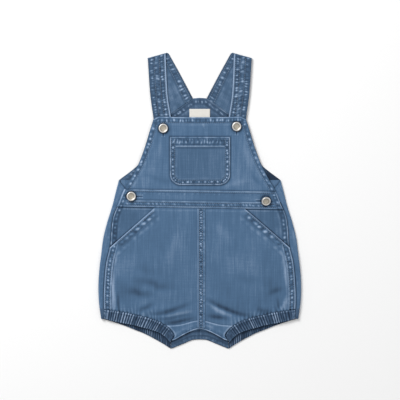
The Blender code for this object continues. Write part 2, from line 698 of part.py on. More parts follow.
def keyhole(button):
    """Outline of a buttonhole: a round eye at the shank and a narrow slit from it."""
    forward = np.array([button.slit_x, button.slit_y])
    sideways = np.array([-forward[1], forward[0]])
    centre = np.array([button.x, button.y])
    half = SLIT_WIDTH / 2.0
    opening = math.asin(half / EYE_RADIUS)
    outline = []
    for angle in np.linspace(opening, 2.0 * math.pi - opening, 14):
        outline.append(centre + EYE_RADIUS * (forward * math.cos(angle) + sideways * math.sin(angle)))
    outline.append(centre + forward * button.slit_length - sideways * half)
    outline.append(centre + forward * button.slit_length + sideways * half)
    return outline


def cut_buttonhole(panel, button):
    bottom = (front_level(button.x, button.y) - CUT_PAST) * MM
    top = bottom + (button.cloth + 2.0 * CUT_PAST) * MM
    shape = bmesh.new()
    ring = [shape.verts.new((x * MM, y * MM, bottom)) for x, y in keyhole(button)]
    floor = shape.faces.new(ring)
    raised = bmesh.ops.extrude_face_region(shape, geom=[floor])["geom"]
    for corner in raised:
        if isinstance(corner, bmesh.types.BMVert):
            corner.co.z = top
    bmesh.ops.recalc_face_normals(shape, faces=shape.faces)
    mesh = bpy.data.meshes.new("hole_" + button.name)
    shape.to_mesh(mesh)
    shape.free()
    cutter = bpy.data.objects.new("hole_" + button.name, mesh)
    bpy.context.scene.collection.objects.link(cutter)
    cutter.hide_render = True
    cutter.display_type = "WIRE"
    cut = panel.modifiers.new("buttonhole " + button.name, "BOOLEAN")
    cut.operation = "DIFFERENCE"
    cut.solver = "EXACT"
    cut.object = cutter


def make_button(button):
    """A turned cap on a shank that goes down through the buttonhole to what it is sewn to."""
    panel_top = front_level(button.x, button.y) + button.cloth
    cap_bottom = panel_top + GAP + math.sin(math.radians(button.tilt)) * BUTTON_PROFILE[-1][0]
    if button.cloth == CLOTH:
        seat = strap_level(button.y) + STRAP_CLOTH + GAP
    else:
        seat = front_level(button.x, button.y)
    profile = BUTTON_PROFILE + [(SHANK_RADIUS, 0.0), (SHANK_RADIUS, seat - cap_bottom), (0.0, seat - cap_bottom)]
    shape = bmesh.new()
    rings = []
    for radius, height in profile:
        if radius == 0.0:
            rings.append([shape.verts.new((0.0, 0.0, height))])
            continue
        ring = []
        for step in range(BUTTON_SIDES):
            angle = 2.0 * math.pi * step / BUTTON_SIDES
            lean = math.tan(math.radians(button.tilt)) * radius * math.cos(angle)
            if radius == SHANK_RADIUS:
                lean = 0.0
            ring.append(shape.verts.new((radius * math.cos(angle), radius * math.sin(angle), height + lean)))
        rings.append(ring)
    for first, second in zip(rings, rings[1:]):
        for step in range(BUTTON_SIDES):
            after = (step + 1) % BUTTON_SIDES
            corners = [first[step % len(first)], second[step % len(second)]]
            if len(second) > 1:
                corners.append(second[after])
            if len(first) > 1:
                corners.append(first[after])
            shape.faces.new(corners)
    for corner in shape.verts:
        corner.co = (
            (button.x + corner.co.x) * MM,
            (button.y + corner.co.y) * MM,
            (cap_bottom + corner.co.z) * MM,
        )
    bmesh.ops.recalc_face_normals(shape, faces=shape.faces)
    return finish(button.name, bpy.data.meshes.new(button.name), shape, METAL)


def centre_in_plan(items):
    """Move all the pieces so that the middle of the garment's box stands over the origin."""
    corners = np.array([point.co[:] for item in items for point in item.data.vertices])
    middle = (corners.min(axis=0) + corners.max(axis=0)) / 2.0
    for item in bpy.data.objects:
        item.data.transform(Matrix.Translation((-middle[0], -middle[1], 0.0)))


def build():
    clear_scene()
    items = [make_back_bib(), make_back_crotch(), make_label(), make_front_bib(), make_bib_pocket()]
    items += [make_waistband(), make_front_crotch(), make_centre_seam()]
    bib, band = items[3], items[5]
    for word, side in (("left", -1.0), ("right", 1.0)):
        items.append(make_back_leg("back_" + word, side))
        items.append(make_back_leg_hem("back_leg_hem_" + word, side))
        items.append(make_strap("strap_" + word, side))
        items.append(make_side_placket("side_placket_" + word, side))
        items.append(make_hip_yoke("hip_yoke_" + word, side))
        items.append(make_front_leg("front_" + word, side))
        items.append(make_pocket_band("pocket_band_" + word, side))
        items.append(make_side_seam("side_seam_" + word, side))
        items.append(make_front_leg_hem("front_leg_hem_" + word, side))
    for button in BUTTONS:
        items.append(make_button(button))
        cut_buttonhole(bib if button.cloth == CLOTH else band, button)
    centre_in_plan(items)


build()
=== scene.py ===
# %% [markdown]
# # A baby's denim dungaree romper, laid flat
#
# The solids of this garment are already built: every piece that a maker cuts is a closed wall of
# cloth in its own node. This lesson gives them their looks. Each plain wall is replaced by a thin,
# finely divided shell on the same outline and the same level, with the creases and puckers that a
# few washes leave, and then comes the thread, the metal and the colour.
#
# The solids come in metres, centred in plan, with +Y up the garment and the front upward.

# %% Load the solids
import math
from collections import namedtuple

import bmesh
import bpy
import numpy as np
from mathutils import Matrix, Vector


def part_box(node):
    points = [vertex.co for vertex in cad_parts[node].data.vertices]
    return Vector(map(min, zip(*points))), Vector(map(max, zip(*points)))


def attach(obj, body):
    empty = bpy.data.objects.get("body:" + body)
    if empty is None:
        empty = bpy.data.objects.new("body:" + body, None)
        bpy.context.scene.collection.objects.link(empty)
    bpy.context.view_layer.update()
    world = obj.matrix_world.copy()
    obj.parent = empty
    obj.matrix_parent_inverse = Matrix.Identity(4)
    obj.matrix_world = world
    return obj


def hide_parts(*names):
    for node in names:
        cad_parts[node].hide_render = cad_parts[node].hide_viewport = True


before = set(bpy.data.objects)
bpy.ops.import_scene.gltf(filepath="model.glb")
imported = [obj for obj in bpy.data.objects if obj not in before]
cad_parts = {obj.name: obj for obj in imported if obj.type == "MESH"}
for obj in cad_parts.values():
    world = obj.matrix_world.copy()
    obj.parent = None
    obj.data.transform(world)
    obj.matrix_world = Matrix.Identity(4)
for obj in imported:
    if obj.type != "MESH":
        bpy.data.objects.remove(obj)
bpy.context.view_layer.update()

# %% [markdown]
# ## Camera, floor and light
#
# The garment was photographed from straight above, so the camera looks down. A long lens far away
# keeps the scale the same all over the picture. The floor is plain white. One large soft lamp from
# the upper left draws the puckers, and a weaker one from the other side keeps their shadows open,
# because the picture has no hard shadow anywhere.

# %% Camera
MM = 0.001
CAMERA_HEIGHT = 2.404
CAMERA_LENS = 144.0
SENSOR = 36.0
PICTURE_MIDDLE = (0.000375, 0.00112)

camera_data = bpy.data.cameras.new("camera")
camera_data.lens = CAMERA_LENS
camera_data.sensor_width = SENSOR
camera_data.clip_end = 20.0
camera = bpy.data.objects.new("camera", camera_data)
camera.location = (*PICTURE_MIDDLE, CAMERA_HEIGHT)
bpy.context.scene.collection.objects.link(camera)
bpy.context.scene.camera = camera
print("the picture is", round(SENSOR / CAMERA_LENS * CAMERA_HEIGHT, 3), "m wide")

# %% Floor, lamps and the way colours are shown
FLOOR_HALF = 4.0


def make_floor():
    shape = bmesh.new()
    corners = ((-1, -1), (1, -1), (1, 1), (-1, 1))
    shape.faces.new([shape.verts.new((x * FLOOR_HALF, y * FLOOR_HALF, 0.0)) for x, y in corners])
    mesh = bpy.data.meshes.new("floor")
    shape.to_mesh(mesh)
    shape.free()
    paper = bpy.data.materials.new("white_paper")
    paper.use_nodes = True
    paper.node_tree.nodes["Principled BSDF"].inputs["Base Color"].default_value = (0.93, 0.93, 0.93,
        1.0)
    paper.node_tree.nodes["Principled BSDF"].inputs["Roughness"].default_value = 0.95
    mesh.materials.append(paper)
    floor = bpy.data.objects.new("floor", mesh)
    bpy.context.scene.collection.objects.link(floor)


def soft_lamp(name, place, size, power):
    """A square area lamp that points at the middle of the garment."""
    lamp = bpy.data.lights.new(name, "AREA")
    lamp.size = size
    lamp.energy = power
    item = bpy.data.objects.new(name, lamp)
    item.location = place
    item.rotation_euler = Vector(place).to_track_quat("Z", "Y").to_euler()
    bpy.context.scene.collection.objects.link(item)


make_floor()
soft_lamp("key", (-1.1, 1.3, 1.35), 0.9, 38.0)
soft_lamp("fill", (1.6, -0.9, 1.8), 1.8, 8.0)
world = bpy.data.worlds.new("studio")
world.use_nodes = True
world.node_tree.nodes["Background"].inputs["Color"].default_value = (1.0, 1.0, 1.0, 1.0)
world.node_tree.nodes["Background"].inputs["Strength"].default_value = 0.54
bpy.context.scene.world = world
bpy.context.scene.view_settings.view_transform = "Standard"

# %% [markdown]
# ## The shared outlines
#
# The shells must lie exactly where the solids lie, so they come from the same named sizes: "across"
# is the distance from the centre front line and "along" goes up the garment, in millimetres. The
# alternative, reading the outline back from the solids' meshes, would be coarse and fragile.

# %% Sizes of the garment, in millimetres
Spot = namedtuple("Spot", "across along")
Swell = namedtuple("Swell", "across along half_width half_length height")
Fold = namedtuple("Fold", "x1 y1 x2 y2 width height")

# Thickness of the cloth and the play between the layers
CLOTH = 1.2
DOUBLE_CLOTH = 1.8
STRAP_CLOTH = 1.5
BAND_CLOTH = 1.0
GAP = 0.3
HALF_SEAM = 0.03
HEM_SEAM = 0.05
WRAP_SEAM = 0.05

# Heights of the layers above the surface that the garment lies on
FRONT_BASE = 3.4
UNDER_FRONT = CLOTH + GAP
STRAP_AT_BIB = 1.6
STRAP_AT_FOLD = 2.1
LABEL_LEVEL = CLOTH + GAP

# Outer edge of the garment from the side corner down to the leg hem
SIDE_EDGE = [
    Spot(121.3, 30.0), Spot(125.3, 15.0), Spot(131.3, -9.0), Spot(138.8, -33.0),
    Spot(144.8, -57.0), Spot(147.9, -81.0), Spot(150.8, -105.0), Spot(152.2, -135.0),
    Spot(150.8, -159.0), Spot(148.0, -178.0),
]

# Side edge of the front, from the top of the bib down to the leg hem
FRONT_EDGE = [
    Spot(69.6, 120.8), Spot(74.6, 105.0), Spot(83.9, 75.0), Spot(93.7, 50.3),
    Spot(105.7, 28.0), Spot(112.6, 16.5), Spot(121.1, -4.0), Spot(129.8, -25.5),
    Spot(132.4, -43.5), Spot(134.2, -67.5), Spot(140.0, -91.5), Spot(143.4, -124.5),
    Spot(144.2, -150.0), Spot(143.8, -164.0),
]

# Front bib
BIB_TOP = [Spot(69.6, 120.8), Spot(61.5, 125.0)]
BIB_TOP_MIDDLE = 124.2

# Waistband, which falls a little towards the right
WAIST_TOP = 14.3
WAIST_BOTTOM = -11.9
WAIST_FALL = -0.016

# Hip pockets: the slanted mouth runs from the waistband to the side seam
MOUTH_TOP = Spot(67.5, -13.0)
MOUTH_END = Spot(134.4, -71.0)
MOUTH_BAND = 12.0
MOUTH_BAND_EDGE = 0.6
MOUTH_BAND_START = 3.0
MOUTH_BAND_STOP = 9.0
YOKE_TUCK = 8.0
YOKE_UNDER_WAIST = 3.0
YOKE_SLANT = 4.0
YOKE_PAST_MOUTH = 3.0
YOKE_CORNER = 2.5

# Button stands below the ends of the waistband
STAND_TOP = 16.0
STAND_INNER = 86.0
STAND_LOW = -6.7
WRAP_UNDER_FRONT = 3.0
WRAP_CORNER = Spot(112.9, 19.5)
WRAP_LEAVES = -4.0
WRAP_SHIFT = 2.0
LEAST_TURN = 0.4
LEVEL_WITH_FRONT = 15.0

# Front leg hem: where the casing is stitched, and its lower edge
FRONT_HEM_TOP = [
    Spot(143.4, -164.3), Spot(124.6, -166.5), Spot(105.1, -170.0), Spot(81.5, -175.5),
    Spot(65.3, -180.6), Spot(52.1, -187.4), Spot(43.6, -195.0), Spot(38.6, -203.4),
]
FRONT_HEM_LOW = [
    Spot(143.4, -177.6), Spot(132.7, -181.2), Spot(118.1, -184.2), Spot(100.1, -187.6),
    Spot(87.2, -191.0), Spot(70.9, -195.5), Spot(58.8, -200.2), Spot(50.3, -206.6),
    Spot(44.6, -213.4),
]
FRONT_GATHERS = 24
FRONT_GATHER_HEIGHT = 0.9

# Back leg hem
BACK_HEM_TOP = [
    Spot(149.6, -162.6), Spot(128.0, -168.6), Spot(112.0, -173.4), Spot(82.1, -185.2),
    Spot(60.0, -196.8), Spot(43.6, -206.8),
]
BACK_HEM_LOW = [
    Spot(146.4, -178.4), Spot(130.1, -183.0), Spot(112.1, -189.0), Spot(97.1, -195.0),
    Spot(82.1, -201.0), Spot(59.6, -213.0), Spot(43.4, -223.2),
]
BACK_GATHERS = 34
BACK_GATHER_HEIGHT = 0.8

# Crotch strips
FRONT_CROTCH_TOP = [Spot(50.6, -187.9), Spot(29.6, -186.2), Spot(8.2, -180.6), Spot(0.0, -180.2)]
FRONT_CROTCH_SIDE = [Spot(50.6, -187.9), Spot(42.8, -194.7), Spot(37.6, -203.1), Spot(42.2, -211.0)]
FRONT_CROTCH_LOW = [
    Spot(42.2, -211.0), Spot(36.6, -209.2), Spot(24.2, -202.2), Spot(10.9, -196.0),
    Spot(0.0, -193.0),
]
BACK_CROTCH_TOP = [Spot(43.1, -207.0), Spot(22.0, -200.0), Spot(0.0, -195.4)]
BACK_CROTCH_LOW = [
    Spot(42.9, -222.9), Spot(40.3, -222.3), Spot(24.2, -215.7), Spot(10.9, -210.3),
    Spot(0.0, -209.4),
]

# Back bib: from the strap seam round the armhole to the side corner
BACK_NECK = [Spot(10.4, 152.6), Spot(0.0, 153.4)]
STRAP_SEAM_END = Spot(46.5, 127.2)
ARMHOLE = [
    Spot(46.5, 127.2), Spot(57.6, 105.0), Spot(74.6, 75.0), Spot(94.5, 51.0),
    Spot(121.1, 30.02),
]
BACK_WAIST = 30.0

# Shoulder straps
STRAP_FRONT_OUTER = [Spot(66.3, 90.0), Spot(69.6, 123.0), Spot(74.4, 159.0), Spot(78.4, 213.0)]
STRAP_FRONT_INNER = [Spot(40.4, 90.0), Spot(43.4, 124.5), Spot(48.6, 160.0), Spot(51.7, 219.8)]
STRAP_BACK_OUTER = [Spot(78.4, 213.0), Spot(62.0, 174.6), Spot(46.6, 127.25)]
STRAP_BACK_INNER = [Spot(47.2, 221.6), Spot(29.6, 189.0), Spot(10.45, 152.65)]

# Bib pocket and label
POCKET_MIDDLE = 0.5
POCKET_HALF = 45.0
POCKET_TOP = 94.5
POCKET_LOW = 22.5
POCKET_CORNER = 16.0
LABEL_HALF = 15.5
LABEL_TOP = 136.7
LABEL_LOW = 117.0

# Felled seams that stand on the front
CENTRE_SEAM_LEFT = -3.4
CENTRE_SEAM_RIGHT = 7.9
SIDE_SEAM_WIDTH = 11.0
SIDE_SEAM_START = 9.0
SIDE_SEAM_INSET = 0.5

# Buttons: name, place, the way the buttonhole runs, its length and the tilt of the cap
Button = namedtuple("Button", "name x y slit_x slit_y slit_length tilt cloth")
BUTTONS = [
    Button("button_bib_left", -54.7, 107.4, 0.0, -1.0, 12.0, 0.0, CLOTH),
    Button("button_bib_right", 55.3, 110.1, 0.0, -1.0, 12.0, 0.0, CLOTH),
    Button("button_side_left", -102.7, 5.4, 1.0, 0.0, 17.0, 0.0, DOUBLE_CLOTH),
    Button("button_side_right", 99.2, -1.4, -1.0, 0.0, 15.0, 27.0, DOUBLE_CLOTH),
]
SHANK_RADIUS = 1.2

# Broad swells of the front layer, the same on both sides
SWELLS = [
    Swell(70.0, -95.0, 42.0, 55.0, 1.4),
    Swell(95.0, -190.0, 70.0, 26.0, -0.6),
    Swell(150.0, -125.0, 16.0, 45.0, -0.6),
    Swell(0.0, 58.0, 48.0, 34.0, -0.5),
    Swell(0.0, -200.0, 46.0, 16.0, -0.4),
]

# Largest folds of the front legs, as ridges and troughs between two points
FOLDS = [
    Fold(-80.0, -166.0, -14.0, -163.0, 7.0, 0.9),
    Fold(-84.0, -176.0, -18.0, -174.0, 6.0, -0.6),
    Fold(-112.0, -127.0, -26.0, -146.0, 11.0, 0.6),
    Fold(18.0, -146.0, 84.0, -166.0, 7.0, 0.9),
    Fold(18.0, -157.0, 78.0, -176.0, 6.5, -0.7),
    Fold(92.0, -157.0, 120.0, -164.0, 7.0, -0.5),
    Fold(-118.0, -146.0, -120.0, -164.0, 6.0, 0.5),
    Fold(30.0, -60.0, 100.0, -110.0, 14.0, 0.4),
    Fold(-40.0, -40.0, -60.0, -110.0, 15.0, 0.4),
]
FOLD_FREE_OF_SEAM = (6.0, 22.0)

# How finely the pieces are divided: the steps of the solids, and how many times finer the shells are
WAIST_STEPS = 8
MOUTH_STEPS = 12
HEM_STEPS = 16
HEM_STEPS_ON_LEG = 13
LEG_ROWS = 11
FINE = 6
CURVE_PARTS = 48

# %% Curves and panels from a few named spots
def smooth_step(value, low, high):
    """0 below low, 1 above high and a soft ramp between them."""
    share = np.clip((value - low) / (high - low), 0.0, 1.0)
    return share * share * (3.0 - 2.0 * share)


def half_width(table, along):
    """Half width at a height, on a smooth curve through the rows of a table."""
    rows = sorted(table, key=lambda spot: spot.along)
    heights = np.array([spot.along for spot in rows])
    widths = np.array([spot.across for spot in rows])
    slopes = np.gradient(widths, heights)
    along = np.clip(along, heights[0], heights[-1])
    row = np.clip(np.searchsorted(heights, along) - 1, 0, len(rows) - 2)
    span = heights[row + 1] - heights[row]
    share = (along - heights[row]) / span
    square = share * share
    cube = square * share
    start = (2.0 * cube - 3.0 * square + 1.0) * widths[row]
    leave = (cube - 2.0 * square + share) * span * slopes[row]
    finish = (3.0 * square - 2.0 * cube) * widths[row + 1]
    arrive = (cube - square) * span * slopes[row + 1]
    return start + leave + finish + arrive


def curve_points(spots, count):
    """Count steps of even length along a smooth curve through a few spots."""
    fixed = np.array([tuple(spot)[:2] for spot in spots], dtype=float)
    before = 2.0 * fixed[0] - fixed[1]
    after = 2.0 * fixed[-1] - fixed[-2]
    padded = np.vstack([before, fixed, after])
    fine = []
    for index in range(1, len(padded) - 2):
        for share in np.linspace(0.0, 1.0, CURVE_PARTS + 1)[:-1]:
            square = share * share
            cube = square * share
            fine.append(0.5 * (
                2.0 * padded[index]
                + (padded[index + 1] - padded[index - 1]) * share
                + (2.0 * padded[index - 1] - 5.0 * padded[index]
                   + 4.0 * padded[index + 1] - padded[index + 2]) * square
                + (3.0 * padded[index] - padded[index - 1]
                   - 3.0 * padded[index + 1] + padded[index + 2]) * cube
            ))
    fine.append(fixed[-1])
    fine = np.array(fine)
    steps = np.linalg.norm(np.diff(fine, axis=0), axis=1)
    reach = np.concatenate([[0.0], np.cumsum(steps)])
    wanted = np.linspace(0.0, reach[-1], count + 1)
    return np.column_stack([np.interp(wanted, reach, fine[:, 0]), np.interp(wanted, reach, fine[:, 1])])


def joined(*stretches):
    """One edge from several stretches whose ends meet."""
    parts = [stretches[0]]
    parts.extend(stretch[1:] for stretch in stretches[1:])
    return np.vstack(parts)


def turned_over(points):
    """The same points on the other side of the centre line."""
    return points * np.array([-1.0, 1.0])


def shifted(points, across, along):
    return points + np.array([across, along])


def filled(top, bottom, left, right):
    """Rows of points that fill four edges: top and bottom from left to right, sides downward."""
    u = np.linspace(0.0, 1.0, len(top))[None, :, None]
    v = np.linspace(0.0, 1.0, len(left))[:, None, None]
    ruled = (1.0 - v) * top[None] + v * bottom[None] + (1.0 - u) * left[:, None] + u * right[:, None]
    corners = (
        (1.0 - u) * (1.0 - v) * top[0] + u * (1.0 - v) * top[-1]
        + (1.0 - u) * v * bottom[0] + u * v * bottom[-1]
    )
    return ruled - corners


def front_level(x, y):
    """Height of the underside of the front layer: swells on both sides, then the folds."""
    level = FRONT_BASE + 0.0 * x
    for swell in SWELLS:
        sideways = (np.abs(x) - swell.across) / swell.half_width
        lengthways = (y - swell.along) / swell.half_length
        level = level + swell.height * np.exp(-sideways ** 2 - lengthways ** 2)
    folds = 0.0 * x
    for fold in FOLDS:
        run_x = fold.x2 - fold.x1
        run_y = fold.y2 - fold.y1
        length = math.hypot(run_x, run_y)
        share = np.clip(((x - fold.x1) * run_x + (y - fold.y1) * run_y) / length ** 2, 0.0, 1.0)
        away = np.hypot(x - fold.x1 - share * run_x, y - fold.y1 - share * run_y)
        folds = folds + fold.height * np.exp(-(away / fold.width) ** 2)
    return level + folds * smooth_step(np.abs(x), *FOLD_FREE_OF_SEAM)


def waist_line(height, x):
    """A line across the waist at one height, falling a little to the right."""
    return np.column_stack([x, height + WAIST_FALL * x])


def wrap_end(along):
    """Where the part of the back that is turned to the front ends."""
    at_seam = half_width(FRONT_EDGE, along) + WRAP_SEAM
    tucked = half_width(FRONT_EDGE, along) - WRAP_UNDER_FRONT
    end = at_seam + (tucked - at_seam) * smooth_step(along, WRAP_LEAVES, WRAP_LEAVES + WRAP_SHIFT)
    slope = (WRAP_CORNER.across - SIDE_EDGE[0].across) / (WRAP_CORNER.along - BACK_WAIST)
    corner = SIDE_EDGE[0].across + (along - BACK_WAIST) * slope
    return np.maximum(end, corner)


def wrap_level(along):
    """Underside of that part: below the waistband and hip piece, then level with the front leg."""
    edge = half_width(FRONT_EDGE, along)
    drop = UNDER_FRONT * smooth_step(along, MOUTH_END.along - LEVEL_WITH_FRONT, MOUTH_END.along - 1.0)
    return front_level(edge, along) - drop


def roll_start(along):
    """Where the flat part of the back ends and the roll round the side begins."""
    return half_width(SIDE_EDGE, along) - wrap_level(along) / 2.0 - CLOTH / 2.0


def both_sides(spots, half_steps):
    """A curve from the left end to the centre line, and on to the right end."""
    half = curve_points(spots, half_steps)
    return joined(turned_over(half), half[::-1])


def strap_level(along):
    """Underside of the front run of a strap, lower where it goes behind the bib."""
    share = (along - STRAP_FRONT_OUTER[0].along) / (STRAP_FRONT_OUTER[-1].along
        - STRAP_FRONT_OUTER[0].along)
    return STRAP_AT_BIB + (STRAP_AT_FOLD - STRAP_AT_BIB) * share


def mouth_frame():
    """Start, length and direction of a pocket mouth, and the direction below it."""
    start = np.array(MOUTH_TOP)
    run = np.array(MOUTH_END) - start
    length = np.linalg.norm(run)
    run = run / length
    below = np.array([run[1], -run[0]])
    return start, length, run, below


label_low, label_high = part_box("label")
UP = (label_low[1] + label_high[1]) / 2.0 / MM - (LABEL_TOP + LABEL_LOW) / 2.0
print("the garment is set", round(float(UP), 2), "mm up so that its middle is over the origin")

# %% [markdown]
# ## Puckers
#
# When a stitched edge is washed, the thread stays as long as it was and the cloth shrinks beside it,
# so the seam gathers into small puckers. On their tops the dye rubs off and in their valleys it stays.
# So each pucker has two signs: a relief of a third of a millimetre, and a lighter or darker blue.
#
# They could be a texture, but then the seams would look flat from the side. Here both signs come
# from one function of two lengths, how far along the seam a point is and how far in from the edge,
# and the relief moves real points of the shell. Soft noise from a fixed seed makes them uneven.

# %% Soft noise and the puckers of a stitched band
TAU = 2.0 * math.pi


def uneven(along, across, long_step, wide_step, seed):
    """Soft noise from -1 to 1, in patches of about long_step by wide_step."""
    table = np.random.default_rng(seed).uniform(-1.0, 1.0, (64, 64))
    u = np.asarray(along / long_step + 31.0)
    v = np.asarray(across / wide_step + 31.0)
    u, v = np.broadcast_arrays(u, v)
    column = np.floor(u).astype(int)
    row = np.floor(v).astype(int)
    fu = u - column
    fv = v - row
    fu = fu * fu * (3.0 - 2.0 * fu)
    fv = fv * fv * (3.0 - 2.0 * fv)
    near = table[column % 64, row % 64] * (1 - fu) + table[(column + 1) % 64, row % 64] * fu
    far = table[column % 64, (row + 1) % 64] * (1 - fu) + table[(column + 1) % 64, (row + 1) % 64] * fu
    return near * (1 - fv) + far * fv


def line_at(inward, place, width):
    """1 on a line that runs along a band and 0 away from it."""
    return np.exp(-((inward - place) / width) ** 2)


def rungs(along, inward, pitch, start, stop, slant, seed):
    """Puckers of a band as separate soft ovals, dark between them and light on their tops."""
    jitter = np.random.default_rng(seed).uniform(-1.0, 1.0, (6, 512))
    along, inward = np.broadcast_arrays(along, inward)
    cell = np.floor(along / pitch)
    tops = 0.0 * along
    for step in (-1, 0, 1):
        index = (cell + step).astype(int) % 512
        centre = (cell + step + 0.5 + 0.26 * jitter[0][index]) * pitch
        half_long = pitch * (0.31 + 0.09 * jitter[1][index])
        middle = (start + stop) / 2.0 + 0.13 * (stop - start) * jitter[2][index]
        half_wide = (stop - start) * (0.36 + 0.08 * jitter[3][index])
        lean = slant + 0.22 * jitter[4][index]
        bright = 0.78 + 0.42 * jitter[5][index]
        away = along - centre + lean * (inward - middle)
        oval = bright * np.exp(-(away / half_long) ** 2 - ((inward - middle) / half_wide) ** 2)
        tops = np.maximum(tops, oval)
    window = smooth_step(inward, start - 0.8, start + 0.4) * (1.0
        - smooth_step(inward, stop - 0.4, stop + 0.8))
    return 1.75 * tops - 0.65 * window


# In a Band, rim is the strength of a painted shadow line along the very edge, and edge is the worn light
# line beside it.
Band = namedtuple("Band", "start width pitch slant relief contrast rim edge rows seed")


def stitched(along, inward, band):
    """Relief in millimetres and wear of a folded, stitched band, from the edge inward, with a painted
    shadow line along the very edge.
    """
    wave = rungs(along, inward, band.pitch, band.start, band.width, band.slant, band.seed)
    relief = band.relief * wave
    rub = 0.75 + 0.55 * uneven(along, inward, 5.0, 9.0, band.seed + 2)
    light_at = 0.7 if band.rim == 0.0 else 1.9
    wear = band.contrast * wave + band.edge * rub * line_at(inward, light_at, 0.85)
    # Painted shadow along the very edge of the band, as strong as band.rim.
    wear = wear - band.rim * line_at(inward, 0.0, 0.9)
    relief = relief - 0.35 * (1.0 - smooth_step(inward, 0.0, 0.9))
    for row in band.rows:
        relief = relief - 0.22 * line_at(inward, row, 0.8)
        wear = wear - 0.30 * line_at(inward, row, 0.9)
    outside = band.width + 2.5
    beyond = smooth_step(inward, outside - 1.5, outside) * (1.0
        - smooth_step(inward, outside, outside + 3.5))
    wear = wear + 0.10 * beyond * (1.0 + uneven(along, inward, 6.0, 6.0, band.seed + 3))
    return relief, wear


# %% [markdown]
# ## Creases
#
# The solids already hold the largest folds. The finer ones are listed here one by one, each as a soft
# ridge or trough along a few spots, with its own width and height, and no two alike. The same list
# moves the front layer and everything that lies on it, so no panel cuts through its neighbour.

# %% The finer creases of the front
Crease = namedtuple("Crease", "width height spots")
CREASES = [
    Crease(3.4, -0.78, [(-73, -172), (-59, -171), (-42, -165.5), (-28, -160.5), (-13, -155)]),
    Crease(2.5, 0.52, [(-72, -175), (-47, -174.5), (-31, -171), (-13, -167.5)]),
    Crease(2.8, -0.65, [(-74, -178), (-49, -178), (-33, -175), (-13, -172)]),
    Crease(3.2, -1.04, [(-55, -185), (-38, -184), (-25, -181), (-7, -177)]),
    Crease(3.6, -0.72, [(-93, -166.5), (-82.5, -162.5), (-70, -156)]),
    Crease(4.9, -0.59, [(-108, -137), (-96, -137.5), (-90, -141), (-72, -141.5)]),
    Crease(5.6, -0.52, [(-97, -120), (-70, -124.5), (-63, -130), (-39, -130)]),
    Crease(2.8, -0.91, [(-122.5, -140), (-122.5, -156), (-120.5, -172)]),
    Crease(3.4, 0.65, [(-132, -109), (-130, -135), (-125.5, -162)]),
    Crease(3.4, -1.04, [(12, -150), (24, -157), (40, -164), (59, -171), (80, -175.5)]),
    Crease(3.6, 0.72, [(13, -154), (28, -165.5), (44, -172)]),
    Crease(3.4, -0.91, [(12, -174), (32, -176.5), (43, -178.5)]),
    Crease(4.2, -0.65, [(84, -160.5), (92, -166), (101, -167.5), (111, -166)]),
    Crease(4.2, -0.52, [(103, -142), (114, -136), (125, -133)]),
    Crease(2.5, 0.52, [(125, -93), (128.5, -103), (129, -116), (133, -129)]),
    Crease(2.8, 0.52, [(130, -145), (127, -156), (119, -169)]),
    Crease(2.8, -0.45, [(116, -147), (118, -156), (116, -168)]),
    Crease(8.0, 0.22, [(20, -30), (34, -48), (46, -66)]),
    Crease(9.0, 0.22, [(-30, -50), (-42, -74), (-52, -98)]),
    Crease(7.0, -0.25, [(-96, -96), (-80, -106), (-58, -108)]),
    Crease(7.0, -0.22, [(52, -112), (70, -120), (92, -118)]),
    Crease(1.4, 0.4, [(4.5, 116), (5.5, 112), (6, 108)]),
    Crease(5.0, 0.22, [(-58, 92), (-61, 76), (-62, 60)]),
    Crease(5.0, 0.22, [(66, 84), (71, 68), (76, 50)]),
    Crease(4.5, -0.2, [(-84, 40), (-60, 30), (-34, 26)]),
    Crease(4.5, 0.2, [(30, 20), (52, 24), (76, 32)]),
    Crease(3.0, -0.25, [(92, 24), (84, 30), (78, 42)]),
    Crease(17.0, -0.22, [(-122, -112), (-112, -132), (-96, -150)]),
    Crease(12.0, -0.16, [(-84, -134), (-104, -128)]),
    Crease(15.0, -0.2, [(92, -150), (70, -160), (46, -150)]),
    Crease(12.0, -0.16, [(110, -116), (96, -134)]),
]


def polyline_distance(x, y, spots):
    """Distance from a line through spots, and how far along the line that is."""
    best = np.full(np.shape(x), 1e9)
    place = np.zeros(np.shape(x))
    walked = 0.0
    for (x1, y1), (x2, y2) in zip(spots[:-1], spots[1:]):
        run_x, run_y = x2 - x1, y2 - y1
        length = math.hypot(run_x, run_y)
        share = np.clip(((x - x1) * run_x + (y - y1) * run_y) / length ** 2, 0.0, 1.0)
        away = np.hypot(x - x1 - share * run_x, y - y1 - share * run_y)
        closer = away < best
        place = np.where(closer, walked + share * length, place)
        best = np.where(closer, away, best)
        walked += length
    return best, place / walked


def crease_height(x, y, creases):
    """Sum of soft ridges and troughs, each fading out towards its two ends."""
    height = 0.0 * x
    for crease in creases:
        away, share = polyline_distance(x, y, curve_points(crease.spots, 10))
        ends = 0.25 + 0.75 * np.sin(math.pi * share)
        height = height + crease.height * ends * np.exp(-(away / crease.width) ** 2)
    return height


def front_height(x, y):
    """Underside of the front layer with its large folds and its finer creases."""
    return front_level(x, y) + crease_height(x, y, CREASES)


def crease_wear_and_shade(x, y):
    """Crease tops a little lighter where the dye rubs off, and their valleys darker with painted shade.
    """
    broad = uneven(y, x, 34.0, 26.0, 5) * 0.10
    return broad + 0.80 * crease_height(x, y, CREASES)


print("creases placed by hand:", len(CREASES))

# %% [markdown]
# ## From points to cloth
#
# A panel is a grid of points. The shell is two such grids, the face and the back of the cloth, joined
# round the rim into one closed wall, because real cloth has a thickness that shows at every edge.
# Two things are stored with the points for the colour: "wear", rubbed dye together with
# painted shade, and a map called "cut" that lays the panel flat along its grain, so that the weave
# follows the cloth round a fold.

# %% Closed walls of cloth
RIM_SOFT = 0.3
SHARP_ANGLE = 62.0
made = {}


